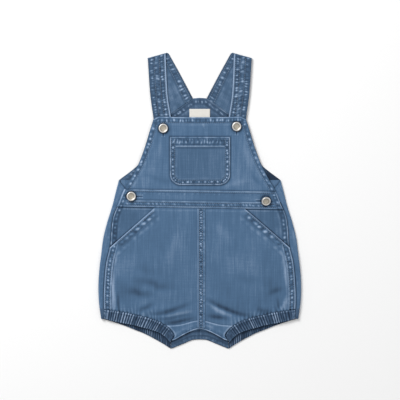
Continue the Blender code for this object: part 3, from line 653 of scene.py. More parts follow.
def cloth(name, under, over, wear, cut, material, slot, *nodes):
    """A closed wall between two grids, with its wear and painted shade and its flat map; stands for the
    CAD nodes.
    """
    rows, columns = over.shape[:2]
    over = over.copy()
    under = under.copy()
    points = np.concatenate([over.reshape(-1, 3), under.reshape(-1, 3)])
    points = (points + np.array([0.0, UP, 0.0])) * MM
    index = np.arange(rows * columns).reshape(rows, columns)
    low = index + rows * columns
    faces = [
        np.stack([index[:-1, :-1], index[1:, :-1], index[1:, 1:], index[:-1, 1:]], axis=-1).reshape(-1,
            4),
        np.stack([low[:-1, :-1], low[:-1, 1:], low[1:, 1:], low[1:, :-1]], axis=-1).reshape(-1, 4),
        np.stack([index[:-1, 0], low[:-1, 0], low[1:, 0], index[1:, 0]], axis=-1),
        np.stack([index[:-1, -1], index[1:, -1], low[1:, -1], low[:-1, -1]], axis=-1),
        np.stack([index[0, :-1], index[0, 1:], low[0, 1:], low[0, :-1]], axis=-1),
        np.stack([index[-1, :-1], low[-1, :-1], low[-1, 1:], index[-1, 1:]], axis=-1),
    ]
    faces = np.concatenate(faces)
    a, b, c, d = (points[faces[:, k]] for k in range(4))
    volume = (np.cross(a, b) * c).sum() + (np.cross(a, c) * d).sum()
    if volume < 0.0:
        faces = faces[:, ::-1]
    mesh = bpy.data.meshes.new(name)
    mesh.from_pydata(points.tolist(), [], faces.tolist())
    layer = mesh.attributes.new("wear", "FLOAT", "POINT")
    layer.data.foreach_set("value", np.tile(np.broadcast_to(wear, (rows, columns)).ravel(),
        2).astype(np.float32))
    corner = np.zeros(len(mesh.loops), np.int32)
    mesh.loops.foreach_get("vertex_index", corner)
    flat = np.tile(cut.reshape(-1, 2) * MM, (2, 1))
    mesh.uv_layers.new(name="cut").data.foreach_set("uv", flat[corner].astype(np.float32).ravel())
    mesh.shade_smooth()
    mesh.set_sharp_from_angle(angle=math.radians(SHARP_ANGLE))
    mesh.materials.append(material)
    item = bpy.data.objects.new(name, mesh)
    bpy.context.scene.collection.objects.link(item)
    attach(item, "root")
    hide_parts(*nodes)
    made[name] = item
    print(name, "points", len(points), "triangles", 2 * len(faces))
    return item


def rounded(over):
    """The same face with its outermost row of points let down, so that the rim is soft."""
    over = over.copy()
    for rim in (over[0], over[-1], over[:, 0], over[:, -1]):
        rim[..., 2] -= RIM_SOFT
    return over


def sheet_at(points, height):
    """Points in plan with their heights, as rows by columns by three."""
    return np.dstack([points[:, :, 0], points[:, :, 1], np.broadcast_to(height, points.shape[:2])])


def front_piece(name, points, rise, thickness, finish, material, slot, node, cut=None,
    relief_under=0.0):
    """A panel of the front, rise above the front layer; finish gives relief, and wear with painted shade,
    at a point.
    """
    x, y = points[:, :, 0], points[:, :, 1]
    under = front_height(x, y) + rise
    relief, wear = finish(x, y)
    over = sheet_at(points, under + thickness + relief)
    under = sheet_at(points, under + relief_under * relief)
    return cloth(name, under, rounded(over), wear, points if cut is None else cut, material, slot, node)

# %% [markdown]
# ## The dye and the weave
#
# Denim is a twill: the blue warp threads run up the garment and pass over two or three white weft
# threads at a time, which draws fine slanted lines. Uneven yarn, called slub, leaves faint streaks
# along the warp, and washing leaves cloudy patches. All the pieces share these effects, so they are
# one node group with named inputs. The group gives a colour and a height, and each material feeds
# them to its own shader.

# %% A shader group for washed denim


def linked(tree, kind, operation=None, **inputs):
    """A new node, with each named or numbered input set to a value or joined to a socket."""
    node = tree.nodes.new(kind)
    if operation is not None:
        node.operation = operation
    for key, value in inputs.items():
        socket = node.inputs[int(key[1:])] if key[0] == "n" and key[1:].isdigit() else node.inputs[key.replace("_", " ")]
        if isinstance(value, bpy.types.NodeSocket):
            tree.links.new(value, socket)
        else:
            socket.default_value = value
    return node


def maths(tree, operation, first, second=0.0, third=0.0):
    node = tree.nodes.new("ShaderNodeMath")
    node.operation = operation
    for socket, value in zip(node.inputs, (first, second, third)):
        if isinstance(value, bpy.types.NodeSocket):
            tree.links.new(value, socket)
        else:
            socket.default_value = value
    return node.outputs[0]


def cloudy(tree, place, across, along, detail):
    """Noise on the flat map, in patches of about 1/across by 1/along metres, from -0.5 to 0.5."""
    stretched = linked(tree, "ShaderNodeVectorMath", "MULTIPLY", n0=place, n1=(across, along, 1.0))
    noise = linked(tree, "ShaderNodeTexNoise", Vector=stretched.outputs[0], Scale=1.0, Detail=detail,
        Roughness=0.6)
    return maths(tree, "SUBTRACT", noise.outputs["Fac"], 0.5)


def mixed(tree, share, first, second):
    node = tree.nodes.new("ShaderNodeMix")
    node.data_type = "RGBA"
    for socket, value in zip((node.inputs[0], node.inputs[6], node.inputs[7]), (share, first, second)):
        tree.links.new(value, socket)
    return node.outputs[2]


def make_denim_group():
    tree = bpy.data.node_groups.new("washed_denim", "ShaderNodeTree")
    for name, kind, value in (
        ("Dye", "NodeSocketColor", (0.08, 0.15, 0.26, 1.0)),
        ("Worn", "NodeSocketColor", (0.3, 0.4, 0.53, 1.0)),
        ("Deep", "NodeSocketColor", (0.02, 0.05, 0.1, 1.0)),
        ("Wear", "NodeSocketFloat", 0.0),
        ("Clouds", "NodeSocketFloat", 0.3),
        ("Slub", "NodeSocketFloat", 0.5),
        ("Specks", "NodeSocketFloat", 0.3),
        ("Twill", "NodeSocketFloat", 0.2),
        ("Twill Pitch", "NodeSocketFloat", 0.0011),
    ):
        socket = tree.interface.new_socket(name, in_out="INPUT", socket_type=kind)
        socket.default_value = value
    tree.interface.new_socket("Colour", in_out="OUTPUT", socket_type="NodeSocketColor")
    tree.interface.new_socket("Height", in_out="OUTPUT", socket_type="NodeSocketFloat")
    given = tree.nodes.new("NodeGroupInput")
    result = tree.nodes.new("NodeGroupOutput")
    flat = tree.nodes.new("ShaderNodeUVMap")
    flat.uv_map = "cut"
    place = flat.outputs[0]
    clouds = cloudy(tree, place, 42.0, 30.0, 3.0)
    streaks = cloudy(tree, place, 620.0, 26.0, 2.0)
    wide_streaks = cloudy(tree, place, 210.0, 16.0, 2.0)
    weft = cloudy(tree, place, 34.0, 520.0, 2.0)
    specks = cloudy(tree, place, 900.0, 500.0, 2.0)
    apart = tree.nodes.new("ShaderNodeSeparateXYZ")
    tree.links.new(place, apart.inputs[0])
    slanted = maths(tree, "ADD", maths(tree, "MULTIPLY", apart.outputs[0], 0.85),
        maths(tree, "MULTIPLY", apart.outputs[1], 0.53))
    turn = maths(tree, "MULTIPLY", maths(tree, "DIVIDE", slanted, given.outputs["Twill Pitch"]), TAU)
    twill = maths(tree, "MULTIPLY", maths(tree, "SINE", turn), 0.5)
    slub = maths(tree, "ADD", maths(tree, "ADD", streaks, maths(tree, "MULTIPLY", wide_streaks, 0.8)),
        maths(tree, "MULTIPLY", weft, 0.45))
    tone = maths(tree, "MULTIPLY", clouds, given.outputs["Clouds"])
    tone = maths(tree, "MULTIPLY_ADD", slub, given.outputs["Slub"], tone)
    tone = maths(tree, "MULTIPLY_ADD", specks, given.outputs["Specks"], tone)
    tone = maths(tree, "MULTIPLY_ADD", twill, given.outputs["Twill"], tone)
    worn_specks = maths(tree, "MULTIPLY_ADD", specks, 0.9, 1.0)
    # The wear-and-shade input lightens the dye towards Worn and darkens it towards Deep; its dark side
    # carries painted shade as well as unwashed dye.
    tone = maths(tree, "MULTIPLY_ADD", given.outputs["Wear"], worn_specks, tone)
    light = linked(tree, "ShaderNodeClamp", Value=tone).outputs[0]
    dark = linked(tree, "ShaderNodeClamp", Value=maths(tree, "MULTIPLY", tone, -1.0)).outputs[0]
    colour = mixed(tree, light, given.outputs["Dye"], given.outputs["Worn"])
    colour = mixed(tree, dark, colour, given.outputs["Deep"])
    tree.links.new(colour, result.inputs["Colour"])
    height = maths(tree, "MULTIPLY_ADD", slub, 0.8, twill)
    height = maths(tree, "MULTIPLY_ADD", specks, 0.7, height)
    tree.links.new(height, result.inputs["Height"])
    return tree


denim_group = make_denim_group()
print("group inputs:", [item.name for item in denim_group.interface.items_tree if item.in_out == "INPUT"])

# %% [markdown]
# ## One material for each shade
#
# The same cloth looks different where it is flat, doubled, gathered or turned inside out, so each of
# the garment's finishes has its own row: the dye, its worn and its deep shade, and how strong the
# clouds, the slub and the specks are.

# %% Denim in its shades
Shade = namedtuple("Shade", "dye worn deep clouds slub specks")
WORN_BLUE = (0.34, 0.45, 0.62)
# DEEP_BLUE is the colour that both unwashed dye and painted shade darken towards.
DEEP_BLUE = (0.010, 0.024, 0.052)
SHADES = {
    "denim": Shade((0.0715, 0.1455, 0.258), WORN_BLUE, DEEP_BLUE, 0.24, 0.46, 0.20),
    "denim_dark": Shade((0.062, 0.126, 0.224), WORN_BLUE, DEEP_BLUE, 0.22, 0.46, 0.20),
    "inside_denim": Shade((0.054, 0.104, 0.182), WORN_BLUE, DEEP_BLUE, 0.26, 0.36, 0.24),
    "strap_denim": Shade((0.062, 0.120, 0.208), WORN_BLUE, DEEP_BLUE, 0.24, 0.36, 0.26),
    "seam_denim": Shade((0.0715, 0.1455, 0.258), WORN_BLUE, DEEP_BLUE, 0.24, 0.40, 0.22),
    "gathered_denim": Shade((0.052, 0.100, 0.178), WORN_BLUE, DEEP_BLUE, 0.22, 0.30, 0.22),
}
TWILL_DEPTH = 0.0002
denim = {}


def make_denim(name, shade):
    material = bpy.data.materials.new(name)
    material.use_nodes = True
    tree = material.node_tree
    shader = tree.nodes["Principled BSDF"]
    shader.inputs["Roughness"].default_value = 0.88
    shader.inputs["Specular IOR Level"].default_value = 0.25
    shader.inputs["Sheen Weight"].default_value = 0.06
    shader.inputs["Sheen Roughness"].default_value = 0.5
    group = tree.nodes.new("ShaderNodeGroup")
    group.node_tree = denim_group
    for key, value in (("Dye", shade.dye), ("Worn", shade.worn), ("Deep", shade.deep)):
        group.inputs[key].default_value = (*value, 1.0)
    for key, value in (("Clouds", shade.clouds), ("Slub", shade.slub), ("Specks", shade.specks),
        ("Twill", 0.12)):
        group.inputs[key].default_value = value
    wear = tree.nodes.new("ShaderNodeAttribute")
    wear.attribute_name = "wear"
    tree.links.new(wear.outputs["Fac"], group.inputs["Wear"])
    tree.links.new(group.outputs["Colour"], shader.inputs["Base Color"])
    bump = linked(tree, "ShaderNodeBump", Strength=0.6, Distance=TWILL_DEPTH,
        Height=group.outputs["Height"])
    tree.links.new(bump.outputs[0], shader.inputs["Normal"])
    denim[name] = material


for shade_name, shade in SHADES.items():
    make_denim(shade_name, shade)
print("shades:", sorted(denim))

# %% [markdown]
# ## The back
#
# The back lies on the table, so its face is flat there apart from shallow grooves. The seat and the
# back of each leg are one piece, and it wraps round the side to meet the front: the shell follows the
# same turn as the solid, with the inside of the cloth on a smaller radius than the outside.

# %% Back bib
BACK_CREASES = [
    Crease(6.0, 0.4, [(-70, 60), (-50, 48), (-30, 44)]),
    Crease(5.0, 0.35, [(20, 96), (38, 90), (52, 80)]),
    Crease(5.0, 0.3, [(-14, 120), (-28, 110), (-34, 96)]),
    Crease(5.0, 0.35, [(44, 48), (66, 46), (90, 40)]),
    Crease(8.0, 0.45, [(30, -30), (70, -48), (120, -60)]),
    Crease(8.0, 0.45, [(-26, -60), (-66, -76), (-100, -100)]),
    Crease(6.0, 0.5, [(10, -120), (44, -130), (70, -150)]),
    Crease(6.0, 0.5, [(-12, -130), (-50, -140), (-80, -160)]),
    Crease(7.0, 0.4, [(60, -90), (94, -102), (128, -128)]),
    Crease(7.0, 0.35, [(-40, 10), (-80, 2), (-110, -16)]),
    Crease(4.0, 0.5, [(90, -140), (104, -152), (112, -168)]),
    Crease(4.0, 0.5, [(-96, -138), (-108, -150), (-116, -166)]),
]


def back_groove(x, y):
    """How far the face of the back lifts off the table in its creases."""
    return np.clip(crease_height(x, y, BACK_CREASES), 0.0, 0.6)


NECK_BAND = Band(2.4, 8.6, 5.0, 0.1, 0.24, 0.80, 0.0, 0.60, (1.8, 9.2), 21)
ARMHOLE_BAND = Band(1.8, 7.0, 5.6, 0.1, 0.22, 0.60, 0.5, 0.45, (7.8,), 22)


NECK_LENGTH = 108.0
ARMHOLE_LENGTH = 123.0


def other_side(x, step=200.0):
    """A length to add on the right side, so that its puckers differ from those on the left."""
    return np.where(x > 0.0, step, 0.0)


def strap_shade(x, y):
    """The dark beside a strap's front run and just above the bib, where the light hardly reaches."""
    inner = np.interp(y, [spot.along for spot in STRAP_FRONT_INNER],
        [spot.across for spot in STRAP_FRONT_INNER])
    beside = np.where(np.abs(x) < inner + 2.0, np.exp(-((inner - np.abs(x)) / 4.0) ** 2), 0.0)
    return -0.55 * beside * smooth_step(y, 118.0, 124.0) - 0.25 * line_at(y, 124.0, 4.0)


def back_bib_grid():
    neck = curve_points([BACK_NECK[0], BACK_NECK[1], Spot(-BACK_NECK[0].across, BACK_NECK[0].along)],
        4 * FINE)
    seam = curve_points([STRAP_SEAM_END, BACK_NECK[0]], 3 * FINE)
    top = joined(turned_over(seam), neck[::-1], seam[::-1])
    armhole = curve_points(ARMHOLE, 12 * FINE)
    across = np.linspace(-ARMHOLE[-1].across, ARMHOLE[-1].across, len(top))
    bottom = np.column_stack([across, np.full(len(top), ARMHOLE[-1].along)])
    return filled(top, bottom, turned_over(armhole), armhole), top, armhole


def finish_back_bib(x, y):
    _, top, armhole = back_bib_grid()
    from_top, share_top = polyline_distance(x, y, top)
    from_arm, share_arm = polyline_distance(np.abs(x), y, armhole)
    along_top, along_arm = share_top * NECK_LENGTH, share_arm * ARMHOLE_LENGTH + other_side(x)
    top_relief, top_wear = stitched(along_top, from_top, NECK_BAND)
    arm_relief, arm_wear_and_shade = stitched(along_arm, from_arm, ARMHOLE_BAND)
    wear = np.where(from_top < from_arm, top_wear, arm_wear_and_shade) + 0.10 * uneven(x, y, 5.0, 4.0,
        23) + strap_shade(x, y)
    # A sheet of painted shadow on the right, where the side opening gapes between the front and the back.
    inside = smooth_step(x, 96.0, 101.0) * (1.0 - smooth_step(y, 44.0, 50.0))
    wear = wear * (1.0 - inside) - 0.95 * inside
    return np.where(from_top < from_arm, top_relief, arm_relief), wear


def make_back_bib():
    points, _, _ = back_bib_grid()
    x, y = points[:, :, 0], points[:, :, 1]
    relief, wear = finish_back_bib(x, y)
    groove = back_groove(x, y)
    under = sheet_at(points, groove)
    over = sheet_at(points, CLOTH + np.clip(relief, -0.6, 0.25))
    return cloth("back_bib_cloth", under, rounded(over), wear, points, denim["inside_denim"],
        "inside_denim", "back_bib")


make_back_bib()

# %% Seat and back legs, which wrap round to the front
TURN_STEPS = 12
WRAP_BAND = Band(1.5, 5.0, 7.5, 0.1, 0.10, 0.12, 0.75, 0.0, (), 31)


def wrapped(flat, side, turned_columns, groove, raised):
    """Outer and inner grids of a back piece that is rolled round to the front, and its flat map."""
    outer_rows, inner_rows, cut_rows, turned_rows = [], [], [], []
    for row in flat:
        along = row[-1, 1]
        level = wrap_level(along)
        middle = level / 2.0
        centre_x = half_width(SIDE_EDGE, along) - middle - CLOTH / 2.0
        centre_z = middle + CLOTH / 2.0
        lift = groove(row[:, 0] * side, row[:, 1])
        outer = [(x, y, z) for (x, y), z in zip(row, lift)]
        inner = [(x, y, z + CLOTH) for (x, y), z in zip(row, 0.4 * lift)]
        reach = list(row[:, 0])
        for step in range(1, TURN_STEPS + 1):
            angle = math.pi * (step / TURN_STEPS - 0.5)
            for rim, radius in ((outer, middle + CLOTH / 2.0), (inner, middle - CLOTH / 2.0)):
                rim.append((centre_x + radius * math.cos(angle), along,
                    centre_z + radius * math.sin(angle)))
            reach.append(row[-1, 0] + math.pi * (middle + CLOTH / 2.0) * step / TURN_STEPS)
        end = min(wrap_end(along), centre_x - LEAST_TURN)
        for step in range(1, turned_columns + 1):
            x = centre_x + (end - centre_x) * step / turned_columns
            lift = raised(abs(x - end), along, x * side) * min(1.0, step / 3.0)
            outer.append((x, along, level + CLOTH + lift))
            inner.append((x, along, level))
            reach.append(reach[len(row) + TURN_STEPS - 1] + centre_x - x)
        outer_rows.append(outer)
        inner_rows.append(inner)
        cut_rows.append(np.column_stack([np.array(reach) * side,
            np.full(len(reach), along) if len(row) < 2 else np.concatenate([row[:, 1],
                np.full(len(reach) - len(row), along)])]))
    mirror = np.array([side, 1.0, 1.0])
    return np.array(outer_rows) * mirror, np.array(inner_rows) * mirror, np.array(cut_rows)


def back_leg_grid():
    corner = WRAP_CORNER.along
    side_along = np.concatenate([
        np.linspace(BACK_WAIST - HALF_SEAM, corner, 2 * FINE + 1),
        np.linspace(corner, WRAP_LEAVES + WRAP_SHIFT, 3 * FINE)[1:],
        np.linspace(WRAP_LEAVES + WRAP_SHIFT, WRAP_LEAVES, 4)[1:],
        np.linspace(WRAP_LEAVES, MOUTH_END.along, 6 * FINE)[1:],
        np.linspace(MOUTH_END.along, BACK_HEM_TOP[0].along, 9 * FINE)[1:],
    ])
    side_edge = np.column_stack([roll_start(side_along), side_along])
    crotch = shifted(curve_points(BACK_CROTCH_TOP, 3 * FINE)[::-1], 0.0, HEM_SEAM)
    crotch[0, 0] = HALF_SEAM
    casing = shifted(curve_points([Spot(*side_edge[-1])] + BACK_HEM_TOP[1:], 8 * FINE), 0.0, HEM_SEAM)
    casing[0] = side_edge[-1]
    crotch[-1] = casing[-1]
    bottom = joined(crotch, casing[::-1])
    across = np.linspace(HALF_SEAM, side_edge[0, 0], len(bottom))
    top = np.column_stack([across, np.full(len(bottom), side_along[0])])
    share = (side_along - side_along[0]) / (side_along[-1] - side_along[0])
    centre = np.column_stack([np.full(len(share), HALF_SEAM),
        top[0, 1] + (bottom[0, 1] - top[0, 1]) * share])
    return filled(top, bottom, centre, side_edge)


def wrap_relief(inward, along, x):
    """Relief of the part that is turned to the front, beside the side seam."""
    relief, _ = stitched(along, inward + 0.0 * along, WRAP_BAND)
    return float(np.clip(relief, -0.4, 0.25))


def make_back_leg(word, side):
    flat = back_leg_grid()
    columns = flat.shape[1]
    outer, inner, cut = wrapped(flat, side, 16, back_groove, wrap_relief)
    x, y = outer[:, :, 0], outer[:, :, 1]
    wear = crease_wear_and_shade(x, y) * 0.6 - 0.5 * back_groove(x, y)
    turned = np.arange(outer.shape[1])[None, :] >= columns + TURN_STEPS
    inward = np.abs(np.abs(x) - np.abs(x[:, -1:]))
    _, band_wear_and_shade = stitched(y, inward, WRAP_BAND)
    # On the turned part: a painted shadow line beside the edge of the front that lies over it.
    wear = np.where(turned, band_wear_and_shade - 0.25 * line_at(inward, 0.0, 1.8), wear)
    level = np.abs(outer[:, :, 2] - 1.5)
    rim = (np.arange(outer.shape[1])[None, :] >= columns) & ~turned
    wear = np.where(rim, wear * 0.0 + 0.10 - 0.02 * level, wear)
    slot = "denim"
    return cloth("back_leg_cloth_" + word, outer, inner, wear, cut, denim[slot], slot, "back_" + word)


for word, side in (("left", -1.0), ("right", 1.0)):
    make_back_leg(word, side)

# %% [markdown]
# ## The elastic leg hems
#
# A casing is stitched along the leg and an elastic is drawn through it, so the cloth stands in ribs
# across the band. The gathers are the form of the piece and not a pattern on it: a rounded wave whose
# ribs differ in height and lean a little, flattest along the two stitched edges.

# %% Back part of the hems
RIB_SAMPLES = 8
HEM_WIDTH = 17.0


def gathers(steps_along, count, seed):
    """A row of rounded ribs, uneven in width and height, from 0 in the valleys to 1 on the tops."""
    share = steps_along * count
    wander = 0.30 * uneven(share, 0.0 * share, 2.3, 1.0, seed)
    rib = 0.5 - 0.5 * np.cos(TAU * (share + wander))
    height = 0.78 + 0.3 * uneven(share, 0.0 * share, 1.3, 1.0, seed + 1)
    return rib * np.clip(height, 0.3, 1.15)


def make_back_leg_hem(word, side):
    steps = BACK_GATHERS * RIB_SAMPLES
    rows = 13
    side_along = np.linspace(BACK_HEM_TOP[0].along - HEM_SEAM, BACK_HEM_LOW[0].along, rows)
    side_edge = np.column_stack([roll_start(side_along), side_along])
    top = curve_points([Spot(*side_edge[0])] + BACK_HEM_TOP[1:], steps)[::-1]
    low = curve_points([Spot(*side_edge[-1])] + BACK_HEM_LOW[1:], steps)[::-1]
    inner_end = np.linspace(top[0], low[0], rows)
    flat = filled(top, low, inner_end, side_edge)
    outer, inner, _ = wrapped(flat, side, 6, lambda x, y: 0.0 * x, lambda a, b, c: 0.0)
    share = np.linspace(0.0, 1.0, steps + 1)[None, :]
    down = np.linspace(0.0, 1.0, rows)[:, None]
    rib = gathers(share + 0.012 * down, BACK_GATHERS, 41 if side < 0 else 43)
    fade = np.clip((1.0 - share) * 14.0, 0.0, 1.0)
    band = 0.45 + 0.55 * np.sin(math.pi * np.clip(down, 0.03, 0.97))
    inner[:, :steps + 1, 2] += BACK_GATHER_HEIGHT * rib * fade * band
    outer[:, :steps + 1, 2] += 0.45 * rib * fade * band
    wear = np.zeros(outer.shape[:2])
    # Rib tops lighter where the dye rubs off; the valleys and the whole band darker with painted shade,
    # as the back hem lies under the front hem, and painted shade lines along both edges.
    wear[:, :steps + 1] = (1.7 * rib ** 1.7 - 1.05) * fade
    wear[:, :steps + 1] -= 0.3 * line_at(down, 0.0, 0.08) + 0.2 * line_at(down, 1.0, 0.12)
    # Painted shadow under the lower edge of the front hem.
    from_front, _ = polyline_distance(np.abs(outer[:, :, 0]), outer[:, :, 1],
        curve_points(FRONT_HEM_LOW, 24))
    wear = wear - 0.6 * line_at(from_front, 0.0, 3.2)
    middle = outer[rows // 2]
    reach = np.concatenate([[0.0], np.cumsum(np.linalg.norm(np.diff(middle, axis=0), axis=1))])
    cut = np.dstack([reach[None, :] + 0.0 * down, -down * HEM_WIDTH + 0.0 * reach[None, :]])
    slot = "gathered_denim"
    return cloth("back_hem_cloth_" + word, outer, inner, wear, cut, denim[slot], slot,
        "back_leg_hem_" + word)


for word, side in (("left", -1.0), ("right", 1.0)):
    make_back_leg_hem(word, side)

# %% Back crotch strip
CROTCH_BAND = Band(1.6, 5.4, 5.0, 0.1, 0.20, 0.35, 0.6, 0.30, (6.0,), 51)


CROTCH_LENGTH = 96.0


def make_back_crotch():
    top = both_sides(BACK_CROTCH_TOP, 6 * FINE)
    low = both_sides(BACK_CROTCH_LOW, 6 * FINE)
    rows = 22
    points = filled(top, low, np.linspace(top[0], low[0], rows), np.linspace(top[-1], low[-1], rows))
    x, y = points[:, :, 0], points[:, :, 1]
    from_low, share = polyline_distance(x, y, low)
    relief, wear = stitched(share * CROTCH_LENGTH, from_low, CROTCH_BAND)
    over = sheet_at(points, DOUBLE_CLOTH + np.clip(relief, -0.5, 0.2))
    slot = "inside_denim"
    # Painted shadow under the lower edge of the front crotch strip, a painted dark spot of shade under
    # its apex, and the whole strip a little darker.
    from_front, _ = polyline_distance(x, y, both_sides(FRONT_CROTCH_LOW, 12))
    shadow_under_apex = np.exp(-((x + 2.0) ** 2 + (y + 194.0) ** 2) / 30.0)
    wear = wear - 0.12 - 0.75 * line_at(from_front, 0.0, 3.0) - 0.6 * shadow_under_apex
    wear = wear + 0.40 * line_at(x, 1.2, 0.9) - 0.35 * line_at(x, -0.8, 1.0) + 0.2 * uneven(x, y, 5.0,
        4.0, 55)
    return cloth("back_crotch_cloth", sheet_at(points, 0.0), rounded(over), wear, points, denim[slot],
        slot, "back_crotch")


make_back_crotch()

# %% [markdown]
# ## Shoulder straps
#
# Each strap is sewn to the back, folded over at the shoulder and laid down to the bib. Its front run
# shows twin stitched edges with puckers between them over the whole width, and its back run shows
# the calmer inner side. Rows of points across the strap follow that path, as they do in the solid,
# and the relief is added on whichever face is upward.

# %% Straps
STRAP_WIDTH = 26.0
STRAP_COLUMNS = 33
STRAP_LADDER = 3.9


def strap_surface(along, across, seed):
    """Relief and wear of the front run: two ladders of puckers and uneven blisters between them."""
    outer = rungs(along, across, STRAP_LADDER, 1.8, 8.2, 0.1, seed)
    inner = rungs(along, STRAP_WIDTH - across, STRAP_LADDER * 1.1, 3.4, 9.2, -0.1, seed + 7)
    middle = rungs(along, across, STRAP_LADDER * 1.25, 9.0, 16.0, 0.3, seed + 5)
    blister = uneven(along, across, 2.6, 2.9, seed + 3)
    between = smooth_step(across, 6.0, 8.5) * (1.0 - smooth_step(across, 17.0, 19.0))
    relief = 0.34 * (outer + inner) + (0.20 * middle + 0.18 * blister) * between
    wear = 0.80 * (outer + inner) + (0.45 * middle + 0.45 * blister) * between
    wear = wear + 0.95 * line_at(across, STRAP_WIDTH - 1.0, 0.9) - 0.75 * line_at(across, 0.0, 1.1)
    for row in (9.0, 16.8, 23.2):
        relief = relief - 0.16 * line_at(across, row, 0.7)
        wear = wear - 0.45 * line_at(across, row, 0.8)
    return relief, wear


def strap_back_surface(along, across, seed):
    """Relief and wear of the back run: a ladder along the neck edge and plain cloth beside it."""
    neck = rungs(along, STRAP_WIDTH - across, 6.2, 2.0, 7.6, 0.2, seed)
    wear = 0.75 * neck + 0.14 * uneven(along, across, 5.0, 4.0, seed + 1) - 0.75 * line_at(across,
        STRAP_WIDTH, 1.2)
    return 0.26 * neck, wear - 0.3 * line_at(across, STRAP_WIDTH - 8.6, 0.9)


def make_strap(word, side):
    seed = 61 if side < 0 else 81
    front_steps, back_steps, roll_steps = 150, 118, 10
    fold_outer = np.array(STRAP_FRONT_OUTER[-1])
    fold_back = np.array(STRAP_BACK_INNER[0])
    run = (fold_back - fold_outer) / np.linalg.norm(fold_back - fold_outer)
    away = np.array([-run[1], run[0]]) * np.sign(run[0])
    roll_radius = (STRAP_AT_FOLD + STRAP_CLOTH) / 2.0
    roll_middle = STRAP_AT_FOLD / 2.0
    fold_front = fold_outer + run * np.dot(np.array(STRAP_FRONT_INNER[-1]) - fold_outer, run)
    pulled_in = away * roll_radius
    across = np.linspace(0.0, STRAP_WIDTH, STRAP_COLUMNS)
    outer_rows, inner_rows, wear_and_shade_rows, cut_rows = [], [], [], []
    walked = [0.0]

    def add(start, end, shift_out, shift_in, out_z, in_z, wear, step_length):
        line = np.linspace(start, end, STRAP_COLUMNS)
        outer_rows.append(np.column_stack([line + shift_out, out_z + np.zeros(STRAP_COLUMNS)]))
        inner_rows.append(np.column_stack([line + shift_in, in_z + np.zeros(STRAP_COLUMNS)]))
        wear_and_shade_rows.append(wear + np.zeros(STRAP_COLUMNS))
        walked.append(walked[-1] + step_length)
        cut_rows.append(np.column_stack([across, np.full(STRAP_COLUMNS, walked[-1])]))

    outer_edge = curve_points(STRAP_FRONT_OUTER[:-1] + [Spot(*(fold_outer - pulled_in))], front_steps)
    inner_edge = curve_points(STRAP_FRONT_INNER[:-1] + [Spot(*(fold_front - pulled_in))], front_steps)
    length = np.linalg.norm(outer_edge[1] - outer_edge[0])
    for step in range(front_steps + 1):
        level = STRAP_AT_BIB + (STRAP_AT_FOLD - STRAP_AT_BIB) * step / front_steps
        relief, wear = strap_surface(step * length + 0.0 * across, across, seed)
        behind_bib = smooth_step((outer_edge[step, 1] + inner_edge[step, 1]) / 2.0, 124.0, 128.0)
        near_fold = 1.0 - smooth_step(step, front_steps - 5, front_steps)
        add(outer_edge[step], inner_edge[step], 0.0, 0.0,
            level + STRAP_CLOTH + relief * behind_bib * near_fold - 0.3 * (1 - behind_bib), level, wear,
                length)
    # The rows of the rolled fold at the shoulder take a wear of -0.25: painted shade on the roll.
    for step in range(1, roll_steps):
        share = step / roll_steps
        angle = math.pi * (0.5 - share)
        end = fold_front + (fold_back - fold_front) * share - pulled_in
        out = roll_middle + STRAP_CLOTH / 2.0
        into = roll_middle - STRAP_CLOTH / 2.0
        add(fold_outer - pulled_in, end, away * out * math.cos(angle), away * into * math.cos(angle),
            roll_radius + out * math.sin(angle), roll_radius + into * math.sin(angle), -0.25, 0.5)
    outer_edge = curve_points([Spot(*(fold_outer - pulled_in))] + STRAP_BACK_OUTER[1:], back_steps)
    inner_edge = curve_points([Spot(*(fold_back - pulled_in))] + STRAP_BACK_INNER[1:], back_steps)
    length = np.linalg.norm(outer_edge[1] - outer_edge[0])
    for step in range(back_steps + 1):
        relief, wear = strap_back_surface(step * length + 0.0 * across, across, seed + 11)
        near_fold = smooth_step(step, 0, 5)
        add(outer_edge[step], inner_edge[step], 0.0, 0.0, 0.0, STRAP_CLOTH + relief * near_fold, wear,
            length)
    mirror = np.array([side, 1.0, 1.0])
    outer = np.array(outer_rows) * mirror
    inner = np.array(inner_rows) * mirror
    return cloth("strap_cloth_" + word, outer, inner, np.array(wear_and_shade_rows), np.array(cut_rows),
                 denim["strap_denim"], "strap_denim", "strap_" + word)


for word, side in (("left", -1.0), ("right", 1.0)):
    make_strap(word, side)

# %% [markdown]
# ## The bib
#
# The bib's top and sides are folded to the back and stitched twice. The slanted side hems pucker in
# long blisters, the top hem in short ones. A small crease stands in the middle of the top hem.

# %% Front bib
BIB_TOP_BAND = Band(2.2, 8.2, 4.6, 0.05, 0.32, 0.85, 0.0, 0.70, (8.8,), 101)
BIB_SIDE_BAND = Band(1.6, 6.2, 7.4, 0.35, 0.34, 0.85, 0.75, 0.50, (7.4,), 111)
SIDE_SLOPE = 0.92


def bib_brow(x):
    """Height of the bib's top edge."""
    across = np.abs(x)
    brow = BIB_TOP_MIDDLE + (BIB_TOP[1].along - BIB_TOP_MIDDLE) * (across / BIB_TOP[1].across) ** 2
    drop = (BIB_TOP[1].along - BIB_TOP[0].along) / (BIB_TOP[0].across - BIB_TOP[1].across)
    return np.where(across < BIB_TOP[1].across, brow,
        BIB_TOP[1].along - drop * (across - BIB_TOP[1].across))


def side_finish(x, y, band):
    inward = (half_width(FRONT_EDGE, y) - np.abs(x)) * SIDE_SLOPE
    return inward, *stitched(y / SIDE_SLOPE + other_side(x), inward, band)


def blend_bands(parts):
    """Takes each band's finish where its own edge is nearest."""
    nearest = np.argmin(np.array([part[0] for part in parts]), axis=0)
    relief = np.choose(nearest, [part[1] for part in parts])
    wear = np.choose(nearest, [part[2] for part in parts])
    return relief, wear


